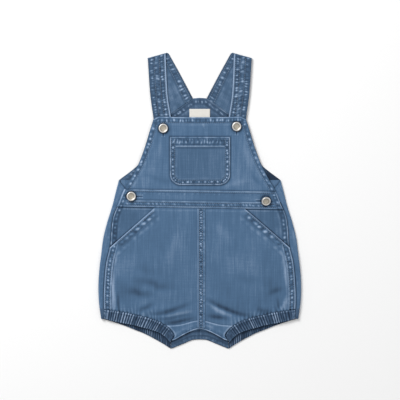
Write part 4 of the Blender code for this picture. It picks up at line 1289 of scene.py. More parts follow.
def pocket_edges(x, y):
    """Distance in from the sides and bottom, the way along that edge, and distance from the top."""
    across = np.abs(x - POCKET_MIDDLE)
    flat_half = POCKET_HALF - POCKET_CORNER
    flat_low = POCKET_LOW + POCKET_CORNER
    into = np.maximum(across - flat_half, 0.0)
    under = np.maximum(flat_low - y, 0.0)
    corner = (into > 0.0) & (under > 0.0)
    from_corner = POCKET_CORNER - np.hypot(into, under)
    from_side = np.where(corner, from_corner, np.minimum(POCKET_HALF - across, y - POCKET_LOW))
    turn = POCKET_CORNER * np.arctan2(under, np.maximum(into, 1e-6))
    side_length = POCKET_TOP - flat_low
    along = np.where(under > 0.0, side_length + turn, POCKET_TOP - y)
    bottom = (across <= flat_half) & (y - POCKET_LOW < POCKET_HALF - across)
    along = np.where(bottom, side_length + POCKET_CORNER * math.pi / 2.0 + flat_half
        - (x - POCKET_MIDDLE), along)
    return from_side, along + other_side(x), POCKET_TOP - y


def pocket_shade(x, y):
    """A thin line of painted shadow on the bib just outside the pocket."""
    from_side, _, from_top = pocket_edges(x, y)
    return line_at(-np.minimum(from_side, from_top), 0.8, 1.3)


def button_marks(x, y):
    """Relief and colour round the buttons: a ring of painted contact shadow, painted shade in the slit
    that shows, and the slit's light stitched edges.
    """
    relief, wear = 0.0 * x, 0.0 * x
    for button in BUTTONS:
        away = np.hypot(x - button.x, y - button.y)
        run = (x - button.x) * button.slit_x + (y - button.y) * button.slit_y
        aside = np.abs((x - button.x) * button.slit_y - (y - button.y) * button.slit_x)
        inside = smooth_step(run, 0.0, 1.0) * (1.0
            - smooth_step(run, button.slit_length - 1.0, button.slit_length + 0.4))
        slit = inside * np.exp(-(aside / 0.7) ** 2)
        tack = smooth_step(run, 0.0, 1.0) * (1.0 - smooth_step(run, button.slit_length + 0.6,
            button.slit_length + 2.0))
        edge = tack * np.exp(-((aside - 1.9) / 0.75) ** 2) * (0.7 + 0.6 * np.sin(TAU * run / 2.3))
        relief = relief - 0.4 * slit + 0.12 * edge
        # Painted shade in the slit, light stitched edges beside it, and a ring of painted contact shadow
        # round each button.
        wear = wear - 0.8 * slit + 0.55 * edge - 0.75 * line_at(away, 7.6, 1.3) - 0.15 * line_at(away,
            9.0, 3.0)
    return relief, wear


def finish_bib(x, y):
    from_top = bib_brow(x) - y
    top = (from_top, *stitched(x, from_top, BIB_TOP_BAND))
    relief, wear = blend_bands([top, side_finish(x, y, BIB_SIDE_BAND)])
    seam = line_at(y - WAIST_TOP - WAIST_FALL * x, 0.0, 1.6)
    mark_relief, mark_wear_and_shade = button_marks(x, y)
    # The pocket line and the rings from button_marks are painted shadow.
    wear = wear + crease_wear_and_shade(x, y) - 0.35 * seam - 0.50 * pocket_shade(x, y) + mark_wear_and_shade
    return relief - 0.2 * seam + mark_relief, wear


def make_front_bib():
    corner = curve_points(BIB_TOP, 12)
    brow_x = np.linspace(-BIB_TOP[1].across, BIB_TOP[1].across, 201)
    brow = np.column_stack([brow_x, bib_brow(brow_x)])
    top = joined(turned_over(corner), brow, corner[::-1])
    low_height = WAIST_TOP + HALF_SEAM
    low_half = half_width(FRONT_EDGE, low_height)
    bottom = waist_line(low_height, np.linspace(-low_half, low_half, len(top)))
    sides = []
    for end in (bottom[0, 1], bottom[-1, 1]):
        along = np.linspace(BIB_TOP[0].along, end, 141)
        sides.append(np.column_stack([half_width(FRONT_EDGE, along), along]))
    points = filled(top, bottom, turned_over(sides[0]), sides[1])
    return front_piece("front_bib_cloth", points, 0.0, CLOTH, finish_bib, denim["denim"], "denim",
        node="front_bib")


make_front_bib()

# %% [markdown]
# ## The bib pocket
#
# A patch with round lower corners. Its top hem is wider and stitched down, and its other edges are
# turned under and stitched twice. How far a point lies from the edge is worked out from the pocket's
# own rounded shape, and it steers the puckers round the corners.

# %% Pocket on the bib
POCKET_HEM = 14.0
POCKET_BAND = Band(2.0, 6.4, 6.0, 0.05, 0.32, 0.95, 0.0, 0.90, (1.8, 7.2), 121)
POCKET_TOP_BAND = Band(4.2, 11.6, 4.6, 0.15, 0.26, 0.60, 0.0, 0.35, (3.0, 12.2), 131)


def finish_pocket(x, y):
    from_side, along, from_top = pocket_edges(x, y)
    side = (from_side, *stitched(along, from_side, POCKET_BAND))
    hem_relief, hem_wear = stitched(x, from_top, POCKET_TOP_BAND)
    second = rungs(x + 2.0, from_top, 3.7, 1.8, 6.6, -0.2, 133)
    in_hem = 1.0 - smooth_step(from_top, 13.6, 15.0)
    blotches = 0.22 * uneven(x, y, 3.0, 3.4, 139) * in_hem
    ridge = line_at(from_top, POCKET_HEM, 1.0) * (0.8 + 0.5 * uneven(x, y, 6.0, 9.0, 135))
    hem = (np.where(from_top < 14.5, 0.6 * from_top, 99.0), hem_relief + 0.1 * second,
        hem_wear + 0.4 * second + blotches)
    relief, wear = blend_bands([side, hem])
    between = smooth_step(from_side, 7.0, 10.0)
    wear = wear + between * (0.62 * ridge - 0.45 * line_at(from_top, POCKET_HEM + 2.4, 1.2))
    relief = relief + 0.25 * in_hem - 0.1 * line_at(from_top, POCKET_HEM + 2.2, 1.1)
    return relief, wear + 0.8 * crease_wear_and_shade(x, y)


def make_bib_pocket():
    columns = np.linspace(-POCKET_HALF, POCKET_HALF, 145)
    rows = 113
    points = np.zeros((rows, len(columns), 2))
    flat_half = POCKET_HALF - POCKET_CORNER
    for c, x in enumerate(columns):
        into = max(abs(x) - flat_half, 0.0)
        lift = POCKET_CORNER - math.sqrt(max(POCKET_CORNER ** 2 - into ** 2, 0.0))
        points[:, c, 0] = POCKET_MIDDLE + x
        points[:, c, 1] = np.linspace(POCKET_TOP, POCKET_LOW + lift, rows)
    return front_piece("bib_pocket_cloth", points, CLOTH + GAP, CLOTH, finish_pocket,
        denim["denim_dark"], "denim", node="bib_pocket")


make_bib_pocket()

# %% [markdown]
# ## The waistband
#
# A straight double band across the front, with its seam to the bib at the top, plain cloth in the
# middle and a ridge between two stitched lines at the bottom.

# %% Waistband
WAIST_SIDE_BAND = Band(2.2, 6.8, 6.2, 0.1, 0.28, 0.75, 0.0, 0.85, (7.6,), 141)
WAIST_RIDGE = 9.0
WAIST_PITCH = 5.6


def finish_waistband(x, y):
    level = y - WAIST_FALL * x
    from_low = level - WAIST_BOTTOM
    from_top = WAIST_TOP - level
    inward, side_relief, side_wear = side_finish(x, y, WAIST_SIDE_BAND)
    ladder = rungs(x, from_low, WAIST_PITCH, 2.6, WAIST_RIDGE - 1.6, 0.3, 151)
    relief = 0.26 * ladder
    wear = 0.50 * ladder
    rub = 0.8 + 0.5 * uneven(x, y, 6.0, 9.0, 153)
    for row, strength in ((0.9, 0.50), (WAIST_RIDGE, 0.55)):
        wear = wear + strength * rub * line_at(from_low, row, 0.8)
    for row in (2.4, WAIST_RIDGE - 1.7):
        relief = relief - 0.2 * line_at(from_low, row, 0.8)
        wear = wear - 0.45 * line_at(from_low, row, 0.8)
    wear = wear - 0.30 * line_at(from_low, WAIST_RIDGE + 2.0, 1.0)
    wear = wear + 0.55 * rub * line_at(from_top, 0.8, 0.9) - 0.42 * line_at(from_top, 3.2, 1.1)
    top_ladder = rungs(x, from_top, 6.5, 3.6, 7.4, 0.3, 161)
    relief = relief + 0.10 * top_ladder - 0.2 * line_at(from_top, 2.8, 0.8)
    wear = wear + 0.16 * top_ladder
    at_side = 1.0 - smooth_step(inward, 7.0, 11.0)
    relief = relief * (1.0 - at_side) + side_relief * at_side
    wear = wear * (1.0 - at_side) + side_wear * at_side
    mark_relief, mark_wear_and_shade = button_marks(x, y)
    return relief + mark_relief, wear + crease_wear_and_shade(x, y) + mark_wear_and_shade


def make_waistband():
    lines = []
    for height in np.linspace(WAIST_TOP - HALF_SEAM, WAIST_BOTTOM + HALF_SEAM, 37):
        half = half_width(FRONT_EDGE, height)
        lines.append(waist_line(height, np.linspace(-half, half, 301)))
    return front_piece("waistband_cloth", np.array(lines), 0.0, DOUBLE_CLOTH, finish_waistband,
        denim["denim"], "denim", node="waistband")


make_waistband()

# %% Button stands below the ends of the waistband
STAND_BAND = Band(1.6, 4.4, 6.0, 0.1, 0.15, 0.3, 0.0, 0.7, (2.0,), 171)


def make_side_placket(word, side):
    rows = []
    for height in np.linspace(STAND_TOP, STAND_LOW, 17):
        outer = half_width(FRONT_EDGE, height) - WRAP_UNDER_FRONT - WRAP_SEAM
        rows.append(np.column_stack([np.linspace(STAND_INNER, outer, 17) * side, np.full(17, height)]))

    def finish(x, y):
        return stitched(np.abs(x), STAND_TOP - y, STAND_BAND)

    return front_piece("side_placket_cloth_" + word, np.array(rows), -UNDER_FRONT, CLOTH, finish,
        denim["denim"], "denim", node="side_placket_" + word)


for word, side in (("left", -1.0), ("right", 1.0)):
    make_side_placket(word, side)

# %% [markdown]
# ## Hip pieces and pocket mouths
#
# Above each slanted mouth shows the hip piece, which lies one layer lower. The mouth itself is the
# leg's own edge, turned under and stitched twice: a sharp light fold, and below it a broad band of
# large blisters. The leg's shell carries the fold and the band is a separate strip on it.

# %% Hip pieces
HIP_BAND = Band(2.4, 7.4, 6.8, 0.1, 0.30, 0.85, 0.0, 0.90, (1.8, 8.2), 181)


def mouth_place(x, y):
    """How far a point is along a pocket mouth, and how far below it (above it is negative)."""
    start, _, run, below = mouth_frame()
    from_x, from_y = np.abs(x) - start[0], y - start[1]
    return from_x * run[0] + from_y * run[1], from_x * below[0] + from_y * below[1]


def finish_hip(x, y):
    inward, relief, wear = side_finish(x, y, HIP_BAND)
    _, below = mouth_place(x, y)
    # shade is a painted shadow just above the fold of the pocket mouth; a painted shadow line also runs
    # along the waistband's lower edge.
    shade = smooth_step(below, -2.8, -0.8)
    under_waist = WAIST_BOTTOM + WAIST_FALL * x - y
    wear = wear - 0.75 * shade - 0.30 * line_at(under_waist, 0.0, 1.3) + 0.22 * line_at(under_waist,
        3.0, 1.0)
    return relief * (1.0 - shade), wear + crease_wear_and_shade(x, y) + 0.1 * uneven(x, y, 9.0, 12.0, 189)


def make_hip_yoke(word, side):
    start, _, _, below = mouth_frame()
    columns, rows = 73, 67
    top_height = WAIST_BOTTOM + YOKE_UNDER_WAIST
    inner = start + below * YOKE_TUCK
    outer_top = half_width(FRONT_EDGE, top_height) - HALF_SEAM
    inner_top = np.array([inner[0] - YOKE_SLANT, top_height + WAIST_FALL * side * inner[0]])
    outer_top = np.array([outer_top, top_height + WAIST_FALL * side * outer_top])
    top = np.linspace(inner_top, outer_top, columns)
    outer_along = np.linspace(outer_top[1], MOUTH_END.along - YOKE_PAST_MOUTH, rows)
    outer = np.column_stack([half_width(FRONT_EDGE, outer_along) - HALF_SEAM, outer_along])
    outer[:, 0] -= YOKE_CORNER * smooth_step(-outer_along, -MOUTH_END.along - 6.0,
        -MOUTH_END.along + 3.0)
    low = np.linspace(inner, outer[-1], columns)
    inner_side = np.linspace(inner_top, inner, rows)
    points = filled(top, low, inner_side, outer) * np.array([side, 1.0])
    return front_piece("hip_cloth_" + word, points, -UNDER_FRONT, CLOTH, finish_hip,
        denim["denim_dark"], "denim", node="hip_yoke_" + word)


for word, side in (("left", -1.0), ("right", 1.0)):
    make_hip_yoke(word, side)

# %% [markdown]
# ## Front legs
#
# The largest plain faces of the garment. Their creases come from the two lists above, and the leg
# is pulled into small folds that run up from the elastic hem and die out, as gathered cloth does.

# %% Front legs
Strip = namedtuple("Strip", "pitch start stop slant relief contrast light dark seed")
MOUTH_STRIP = Strip(11.0, 2.4, 10.2, 0.35, 0.42, 0.85, (), ((1.6, 0.35),), 201)
SIDE_STRIP = Strip(5.6, 2.8, 7.8, 0.2, 0.28, 0.75, ((0.8, 0.75), (9.8, 0.55)),
    ((2.3, 0.55), (8.2, 0.50)), 211)
CENTRE_STRIP = Strip(4.0, 3.3, 7.3, 0.0, 0.24, 0.95, ((0.5, 0.45), (10.9, 0.22)),
    ((3.0, 0.45), (7.6, 0.35)), 221)


def strip_finish(along, inward, strip):
    ladder = rungs(along, inward, strip.pitch, strip.start, strip.stop, strip.slant, strip.seed)
    blister = 0.3 * uneven(along, inward, 2.4, 2.4, strip.seed + 5) * smooth_step(inward, 2.0, 4.0)
    relief = strip.relief * (ladder + 0.5 * blister)
    wear = strip.contrast * (ladder + blister)
    for place, strength in strip.light:
        wear = wear + strength * line_at(inward, place,
            0.8) * (0.85 + 0.3 * uneven(along, inward, 8.0, 9.0, strip.seed + 6))
    for place, strength in strip.dark:
        wear = wear - strength * line_at(inward, place, 0.8)
        relief = relief - 0.18 * line_at(inward, place, 0.8)
    return relief, wear


HEM_FOLD_REACH = 26.0
HEM_FOLD_PITCH = 5.6


def hem_folds(x, y):
    """Small folds that rise from the gathered hem and fade within a few centimetres."""
    line = np.interp(np.abs(x), [spot.across for spot in FRONT_HEM_TOP][::-1],
        [spot.along for spot in FRONT_HEM_TOP][::-1])
    above = y - line
    wave = np.cos(TAU * (x / HEM_FOLD_PITCH + 0.8 * uneven(x, y, 15.0, 22.0, 191)))
    reach = HEM_FOLD_REACH * (0.35 + 0.35 * (1.0 + uneven(x, 0.0 * x, 6.0, 1.0, 193)))
    strength = np.exp(-np.clip(above, 0.0, None) / (0.35 * reach))
    outside = smooth_step(np.abs(x), 40.0, 56.0)
    return wave * strength * outside, above


def finish_leg(x, y):
    along, below = mouth_place(x, y)
    fold = line_at(below, 0.6, 0.9) * smooth_step(along, -2.0, 2.0)
    folds, above = hem_folds(x, y)
    seam_gap = line_at(above, 0.4, 1.2)
    worn_halo = line_at(below, 15.0, 4.0) * smooth_step(along, 0.0,
        8.0) * (0.6 + 0.5 * uneven(along, below, 6.0, 5.0, 197))
    from_waist = WAIST_BOTTOM + WAIST_FALL * x - y
    blotches = rungs(along, below, 11.5, 9.5, 19.0, 0.35, 199) * smooth_step(along, 4.0, 12.0)
    relief = 0.30 * folds - 0.25 * seam_gap - 0.2 * line_at(from_waist, 0.0, 1.4)
    relief = relief + 0.1 * line_at(np.abs(x), 0.0, 2.0)
    wear = 0.42 * folds - 0.35 * seam_gap + 0.95 * fold + 0.24 * worn_halo + 0.17 * blotches
    # A painted shadow line just under the waistband's lower edge, then a lighter line below it.
    wear = wear - 0.25 * line_at(from_waist, 0.5, 1.2) + 0.16 * line_at(from_waist, 4.0, 1.5)
    seam_line = half_width(FRONT_EDGE, y) - SIDE_SEAM_WIDTH - SIDE_SEAM_INSET - np.abs(x)
    wear = wear + 0.28 * line_at(seam_line, 2.2, 1.8) * smooth_step(-y, 70.0,
        84.0) * (0.8 + 0.6 * uneven(x, y, 7.0, 9.0, 198))
    from_edge = half_width(FRONT_EDGE, y) - SIDE_SEAM_INSET - np.abs(x)
    on_seam = (1.0 - smooth_step(from_edge, SIDE_SEAM_WIDTH - 1.0,
        SIDE_SEAM_WIDTH)) * smooth_step(below, 1.0, 3.0)
    wear = wear + on_seam * strip_finish(y + other_side(x), from_edge, SIDE_STRIP)[1]
    return relief, wear + crease_wear_and_shade(x, y)


def front_leg_points(side):
    """The plan of a front leg: waist and pocket mouth above, crotch seam and hem below."""
    waist_steps, mouth_steps, hem_steps = WAIST_STEPS * FINE, MOUTH_STEPS * FINE, HEM_STEPS * FINE
    hem_on_leg = HEM_STEPS_ON_LEG * FINE
    rows = (LEG_ROWS + 3) * FINE
    across = np.linspace(HALF_SEAM, MOUTH_TOP.across, waist_steps + 1)
    waist = waist_line(WAIST_BOTTOM - HALF_SEAM, across * side) * np.array([side, 1.0])
    mouth = np.linspace(waist[-1], np.array(MOUTH_END), mouth_steps + 1)
    top = joined(waist, mouth)
    crotch = curve_points(FRONT_CROTCH_TOP[::-1], waist_steps + mouth_steps - hem_on_leg)
    crotch[:, 1] += HEM_SEAM
    crotch[0, 0] = HALF_SEAM
    hem = curve_points(FRONT_HEM_TOP, hem_steps)[:hem_on_leg + 1][::-1]
    hem[:, 1] += HEM_SEAM
    low = joined(crotch, hem)
    centre = np.column_stack([np.full(rows, HALF_SEAM), np.linspace(top[0, 1], low[0, 1], rows)])
    side_along = np.linspace(top[-1, 1], low[-1, 1], rows)
    side_edge = np.column_stack([half_width(FRONT_EDGE, side_along) - HALF_SEAM, side_along])
    top[-1] = side_edge[0]
    low[-1] = side_edge[-1]
    return filled(top, low, centre, side_edge) * np.array([side, 1.0])


for word, side in (("left", -1.0), ("right", 1.0)):
    front_piece("front_leg_cloth_" + word, front_leg_points(side), 0.0, CLOTH, finish_leg,
                denim["denim"], "denim", node="front_" + word, relief_under=0.7)

# %% [markdown]
# ## Strips that stand on the front
#
# The stitched band below each pocket mouth, the felled side seams and the felled centre seam are
# strips of doubled cloth. Each is a ribbon of points that follows its line on the front, with a
# ladder of puckers between its edges. A short table says where the light lines and the ladder are.

# %% Stitched strips
STRIP_RISE = 0.75
STRIP_THIN = 0.14


def strip_piece(name, points, along, inward, strip, node, full=1.0):
    """A strip on the legs; where full falls to 0 it thins out and takes the look of the leg."""
    x, y = points[:, :, 0], points[:, :, 1]
    relief, wear = strip_finish(along, inward, strip)
    leg_relief, leg_wear_and_shade = finish_leg(x, y)
    under = front_height(x, y) + CLOTH + leg_relief + 0.04
    over = sheet_at(points, under + STRIP_THIN + (STRIP_RISE + relief) * full)
    wear = wear * full + leg_wear_and_shade * (1.0 - full) + 0.6 * crease_wear_and_shade(x, y) * full
    flat = np.dstack([inward + 0.0 * along, along + 0.0 * inward])
    return cloth(name, sheet_at(points, under), over, wear, flat, denim["seam_denim"], "seam_denim",
        node)


def make_pocket_band(word, side):
    start, length, run, below = mouth_frame()
    reach = np.linspace(MOUTH_BAND_START, length - MOUTH_BAND_STOP, 131)[None, :]
    drop = np.linspace(MOUTH_BAND_EDGE, MOUTH_BAND, 23)[:, None]
    points = start + reach[..., None] * run + drop[..., None] * below
    ends = smooth_step(reach, MOUTH_BAND_START, MOUTH_BAND_START + 7.0)
    ends = ends * (1.0 - smooth_step(reach, length - MOUTH_BAND_STOP - 7.0, length - MOUTH_BAND_STOP))
    full = ends * (1.0 - smooth_step(drop, 7.0, MOUTH_BAND)) * smooth_step(drop, 0.2, 1.4)
    strip_piece("pocket_band_cloth_" + word, points * np.array([side, 1.0]), reach + other_side(side),
                drop, MOUTH_STRIP, "pocket_band_" + word, full)


def make_side_seam(word, side):
    along = np.linspace(MOUTH_END.along - SIDE_SEAM_START, FRONT_HEM_TOP[0].along + 1.0, 131)
    edge = half_width(FRONT_EDGE, along) - HALF_SEAM - SIDE_SEAM_INSET
    inward = np.linspace(0.0, SIDE_SEAM_WIDTH, 19)[None, :]
    points = np.dstack([(edge[:, None] - inward) * side, along[:, None] + 0.0 * inward])
    full = smooth_step(along[0] - along[:, None], 0.0, 9.0) + 0.0 * inward
    strip_piece("side_seam_cloth_" + word, points, along[:, None] + other_side(side), inward,
        SIDE_STRIP,
                "side_seam_" + word, full)


def make_centre_seam():
    along = np.linspace(WAIST_BOTTOM - 1.0, FRONT_CROTCH_LOW[-1].along + 1.5, 221)[:, None]
    across = np.linspace(CENTRE_SEAM_LEFT, CENTRE_SEAM_RIGHT, 19)[None, :]
    points = np.dstack([across + 0.0 * along, along + 0.0 * across])
    strip_piece("centre_seam_cloth", points, along, across - CENTRE_SEAM_LEFT, CENTRE_STRIP,
        "centre_front_seam")


for word, side in (("left", -1.0), ("right", 1.0)):
    make_pocket_band(word, side)
    make_side_seam(word, side)
make_centre_seam()

# %% Front part of the hems
def make_front_leg_hem(word, side):
    steps = FRONT_GATHERS * 10
    rows = 15
    top = curve_points(FRONT_HEM_TOP, steps)
    low = curve_points(FRONT_HEM_LOW, steps)
    points = filled(top, low, np.linspace(top[0], low[0], rows), np.linspace(top[-1], low[-1], rows))
    share = np.linspace(0.0, 1.0, steps + 1)[None, :]
    down = np.linspace(0.0, 1.0, rows)[:, None]
    rib = gathers(share + 0.014 * down, FRONT_GATHERS * 1.25, 231 if side < 0 else 233)
    flat_end = 1.0 - smooth_step(share, 0.86, 0.92)
    flat_end = flat_end * (0.20 + 0.80 * smooth_step(share, 0.03, 0.07))
    band = 0.35 + 0.65 * np.sin(math.pi * np.clip(down, 0.04, 0.96))
    rib = rib * flat_end + 0.45 * (1.0 - flat_end)

    def finish(x, y):
        relief = FRONT_GATHER_HEIGHT * rib * band
        # Rib tops lighter where the dye rubs off, and the valleys darker with painted shade.
        wear = 1.65 * rib ** 1.5 - 0.85 + 0.30 * uneven(share * 150.0 + 0.0 * down, down * 20.0, 3.0,
            4.0, 237)
        wear = wear + 0.35 * (1.0 - smooth_step(share, 0.03, 0.07))
        stitch = 0.75 + 0.6 * uneven(share * 150.0, 0.0 * share, 2.2, 9.0, 239)
        wear = wear - 0.45 * line_at(down, 0.0, 0.05) + 0.70 * stitch * line_at(down, 0.10,
            0.06) - 0.3 * line_at(down, 0.22, 0.06)
        wear = wear + 0.25 * line_at(down, 0.93, 0.07)
        return relief, wear

    cut = np.dstack([share * 130.0 + 0.0 * down, -down * 17.0 + 0.0 * share])
    return front_piece("front_hem_cloth_" + word, points * np.array([side, 1.0]), 0.0, CLOTH, finish,
                       denim["gathered_denim"], "gathered_denim", cut=cut, node="front_leg_hem_" + word,
                           relief_under=0.7)


for word, side in (("left", -1.0), ("right", 1.0)):
    make_front_leg_hem(word, side)

# %% Front crotch strip
FRONT_CROTCH_BAND = Band(1.8, 4.6, 5.5, 0.1, 0.18, 0.25, 0.0, 1.1, (2.2,), 241)


def make_front_crotch():
    top = both_sides(FRONT_CROTCH_TOP, 7 * FINE)
    low = both_sides(FRONT_CROTCH_LOW, 7 * FINE)
    right = curve_points(FRONT_CROTCH_SIDE, 5 * FINE)
    points = filled(top, low, turned_over(right), right)

    def finish(x, y):
        from_top, _ = polyline_distance(x, y, top[::3])
        from_low, share = polyline_distance(x, y, low[::3])
        low_relief, low_wear = stitched(share * CROTCH_LENGTH, from_low, FRONT_CROTCH_BAND)
        relief = low_relief - 0.2 * line_at(from_top, 0.0, 1.5)
        from_side, _ = polyline_distance(np.abs(x), y, right)
        # A painted shadow along the top edge, under the fold of the legs, and a light line just below it.
        wear = low_wear - 0.40 * line_at(from_top, 0.0, 0.8) + 0.60 * line_at(from_top, 1.6, 0.9)
        wear = wear + 0.45 * line_at(from_side, 1.4, 1.0) * smooth_step(from_low, 2.0, 4.0)
        return relief, wear + 0.14 * uneven(x, y, 8.0, 6.0, 245)

    return front_piece("front_crotch_cloth", points, 0.0, CLOTH, finish, denim["denim"], "denim",
        node="front_crotch")


make_front_crotch()

# %% [markdown]
# ## The label
#
# A small woven ribbon is sewn to the inside of the back below the neck. It is plain cream here. Its
# weave is fine and even, so its material has its own small pattern of crossing threads.

# %% Woven label
RIBBON_THREAD = 0.0005


def make_ribbon_material():
    material = bpy.data.materials.new("label_ribbon")
    material.use_nodes = True
    tree = material.node_tree
    shader = tree.nodes["Principled BSDF"]
    shader.inputs["Roughness"].default_value = 0.6
    shader.inputs["Sheen Weight"].default_value = 0.2
    flat = tree.nodes.new("ShaderNodeUVMap")
    flat.uv_map = "cut"
    apart = tree.nodes.new("ShaderNodeSeparateXYZ")
    tree.links.new(flat.outputs[0], apart.inputs[0])
    waves = [maths(tree, "SINE", maths(tree, "MULTIPLY", apart.outputs[k],
        TAU / RIBBON_THREAD)) for k in (0, 1)]
    weave = maths(tree, "MULTIPLY_ADD", maths(tree, "MULTIPLY", waves[0], waves[1]), 0.5, 0.5)
    clouds = cloudy(tree, flat.outputs[0], 120.0, 160.0, 2.0)
    share = linked(tree, "ShaderNodeClamp", Value=maths(tree, "MULTIPLY_ADD", clouds, 0.8,
        maths(tree, "MULTIPLY", weave, 0.5)))
    colours = [linked(tree, "ShaderNodeRGB") for _ in range(2)]
    colours[0].outputs[0].default_value = (0.72, 0.70, 0.655, 1.0)
    colours[1].outputs[0].default_value = (0.62, 0.60, 0.54, 1.0)
    tree.links.new(mixed(tree, share.outputs[0], colours[0].outputs[0], colours[1].outputs[0]),
        shader.inputs["Base Color"])
    bump = linked(tree, "ShaderNodeBump", Strength=0.4, Distance=0.0001, Height=weave)
    tree.links.new(bump.outputs[0], shader.inputs["Normal"])
    return material


def make_label():
    points = np.dstack(np.meshgrid(np.linspace(-LABEL_HALF, LABEL_HALF, 43),
        np.linspace(LABEL_TOP, LABEL_LOW, 29)))
    x, y = points[:, :, 0], points[:, :, 1]
    sag = 0.12 * uneven(x, y, 9.0, 7.0, 251)
    end_fold = -0.25 * (line_at(LABEL_HALF - np.abs(x), 0.0, 0.8))
    under = sheet_at(points, LABEL_LEVEL + 0.1 + sag)
    over = sheet_at(points, LABEL_LEVEL + 0.1 + sag + 0.8 * BAND_CLOTH + end_fold)
    return cloth("label_cloth", under, rounded(over), 0.0 * x, points, make_ribbon_material(),
        "label_ribbon", "label")


make_label()

# %% [markdown]
# ## Metal buttons
#
# Four turned metal shank buttons: a raised rim round a shallow dished face. One profile is spun
# round the shank. The right side button is tipped, because its waistband end is pulled.

# %% Turned buttons
BUTTON_FACE = [
    (0.0, 1.45), (1.0, 1.46), (2.2, 1.52), (3.2, 1.62), (3.9, 1.68), (4.3, 1.80), (4.8, 2.25),
        (5.3, 2.60), (5.8, 2.70),
    (6.3, 2.55), (6.7, 2.2), (6.95, 1.7), (7.0, 1.2), (6.8, 0.7), (6.3, 0.3), (5.2, 0.0),
]
# Tones of the rings: the face beige with a darker ring, the raised rim silver, and the lower side,
# underside and shank darkest with painted shade.
BUTTON_TONES = [0.0, 0.0, 0.05, 0.0, -0.5, -0.6, 0.2, 0.9, 1.0, 0.9, 0.5, 0.0, -0.5, -1.0, -1.0, -1.0,
    -1.0, -1.0, -1.0]
BUTTON_SIDES = 64
TIP_AXIS = math.radians(20.0)


def make_metal():
    material = bpy.data.materials.new("button_metal")
    material.use_nodes = True
    tree = material.node_tree
    shader = tree.nodes["Principled BSDF"]
    shader.inputs["Metallic"].default_value = 0.75
    place = tree.nodes.new("ShaderNodeTexCoord").outputs["Object"]
    scratches = cloudy(tree, place, 900.0, 2600.0, 3.0)
    patches = cloudy(tree, place, 260.0, 260.0, 2.0)
    face = tree.nodes.new("ShaderNodeAttribute")
    face.attribute_name = "wear"
    tone = maths(tree, "MULTIPLY_ADD", patches, 0.8, face.outputs["Fac"])
    light = linked(tree, "ShaderNodeClamp", Value=tone).outputs[0]
    dark = linked(tree, "ShaderNodeClamp", Value=maths(tree, "MULTIPLY", tone, -1.0)).outputs[0]
    colours = [linked(tree, "ShaderNodeRGB") for _ in range(3)]
    # Beige face, silver rim, and a dark tone for the painted shade on the lower side.
    for node, colour in zip(colours, ((0.50, 0.46, 0.385), (0.74, 0.73, 0.71), (0.17, 0.155, 0.13))):
        node.outputs[0].default_value = (*colour, 1.0)
    colour = mixed(tree, light, colours[0].outputs[0], colours[1].outputs[0])
    colour = mixed(tree, dark, colour, colours[2].outputs[0])
    tree.links.new(colour, shader.inputs["Base Color"])
    rough = maths(tree, "MULTIPLY_ADD", scratches, 0.3, 0.42)
    tree.links.new(rough, shader.inputs["Roughness"])
    bump = linked(tree, "ShaderNodeBump", Strength=0.25, Distance=0.0001, Height=scratches)
    tree.links.new(bump.outputs[0], shader.inputs["Normal"])
    return material


metal = make_metal()


def make_button(button):
    """A cap turned about its axis and tipped over its long axis, with a shank down to the cloth below."""
    panel_top = front_level(button.x, button.y) + button.cloth
    tip = Matrix.Rotation(math.radians(button.tilt), 3,
        Vector((math.cos(TIP_AXIS), math.sin(TIP_AXIS), 0.0)))
    cap_bottom = panel_top + GAP + math.sin(math.radians(button.tilt)) * BUTTON_FACE[-1][0]
    if button.cloth == CLOTH:
        seat = strap_level(button.y) + STRAP_CLOTH + GAP
    else:
        seat = front_level(button.x, button.y)
    profile = BUTTON_FACE + [(SHANK_RADIUS, 0.0), (SHANK_RADIUS, seat - cap_bottom),
        (0.0, seat - cap_bottom)]
    shape = bmesh.new()
    tones = shape.verts.layers.float.new("wear")
    rings = []
    for place, (radius, height) in enumerate(profile):
        ring = []
        for step in range(1 if radius == 0.0 else BUTTON_SIDES):
            angle = TAU * step / BUTTON_SIDES
            spot = Vector((radius * math.cos(angle), radius * math.sin(angle), height))
            if height >= 0.0:
                spot = tip @ spot
            vertex = shape.verts.new(((button.x + spot.x) * MM, (button.y + UP + spot.y) * MM,
                (cap_bottom + spot.z) * MM))
            vertex[tones] = BUTTON_TONES[place]
            ring.append(vertex)
        rings.append(ring)
    for first, second in zip(rings, rings[1:]):
        for step in range(BUTTON_SIDES):
            after = (step + 1) % BUTTON_SIDES
            corners = [first[step % len(first)], second[step % len(second)]]
            if len(second) > 1:
                corners.append(second[after])
            if len(first) > 1:
                corners.append(first[after])
            shape.faces.new(corners)
    bmesh.ops.recalc_face_normals(shape, faces=shape.faces)
    mesh = bpy.data.meshes.new(button.name + "_metal")
    shape.to_mesh(mesh)
    shape.free()
    mesh.shade_smooth()
    mesh.set_sharp_from_angle(angle=math.radians(50.0))
    mesh.materials.append(metal)
    item = bpy.data.objects.new(button.name + "_metal", mesh)
    bpy.context.scene.collection.objects.link(item)
    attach(item, "root")
    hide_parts(button.name)
    made[item.name] = item


for button in BUTTONS:
    make_button(button)
print("buttons:", len(BUTTONS))

# %% [markdown]
# ## The stitches
#
# Every seam line is a row of short stitches of pale thread that sink a little into the cloth. A row
# is one rule repeated along a path, so Geometry Nodes make it: the path is resampled at the stitch
# pitch, a small rounded body is set along it at each point, and the instances are made real.

# %% A node tree that sews along a path
STITCH_PITCH = 2.9
STITCH_LENGTH = 2.1
THREAD = 0.55


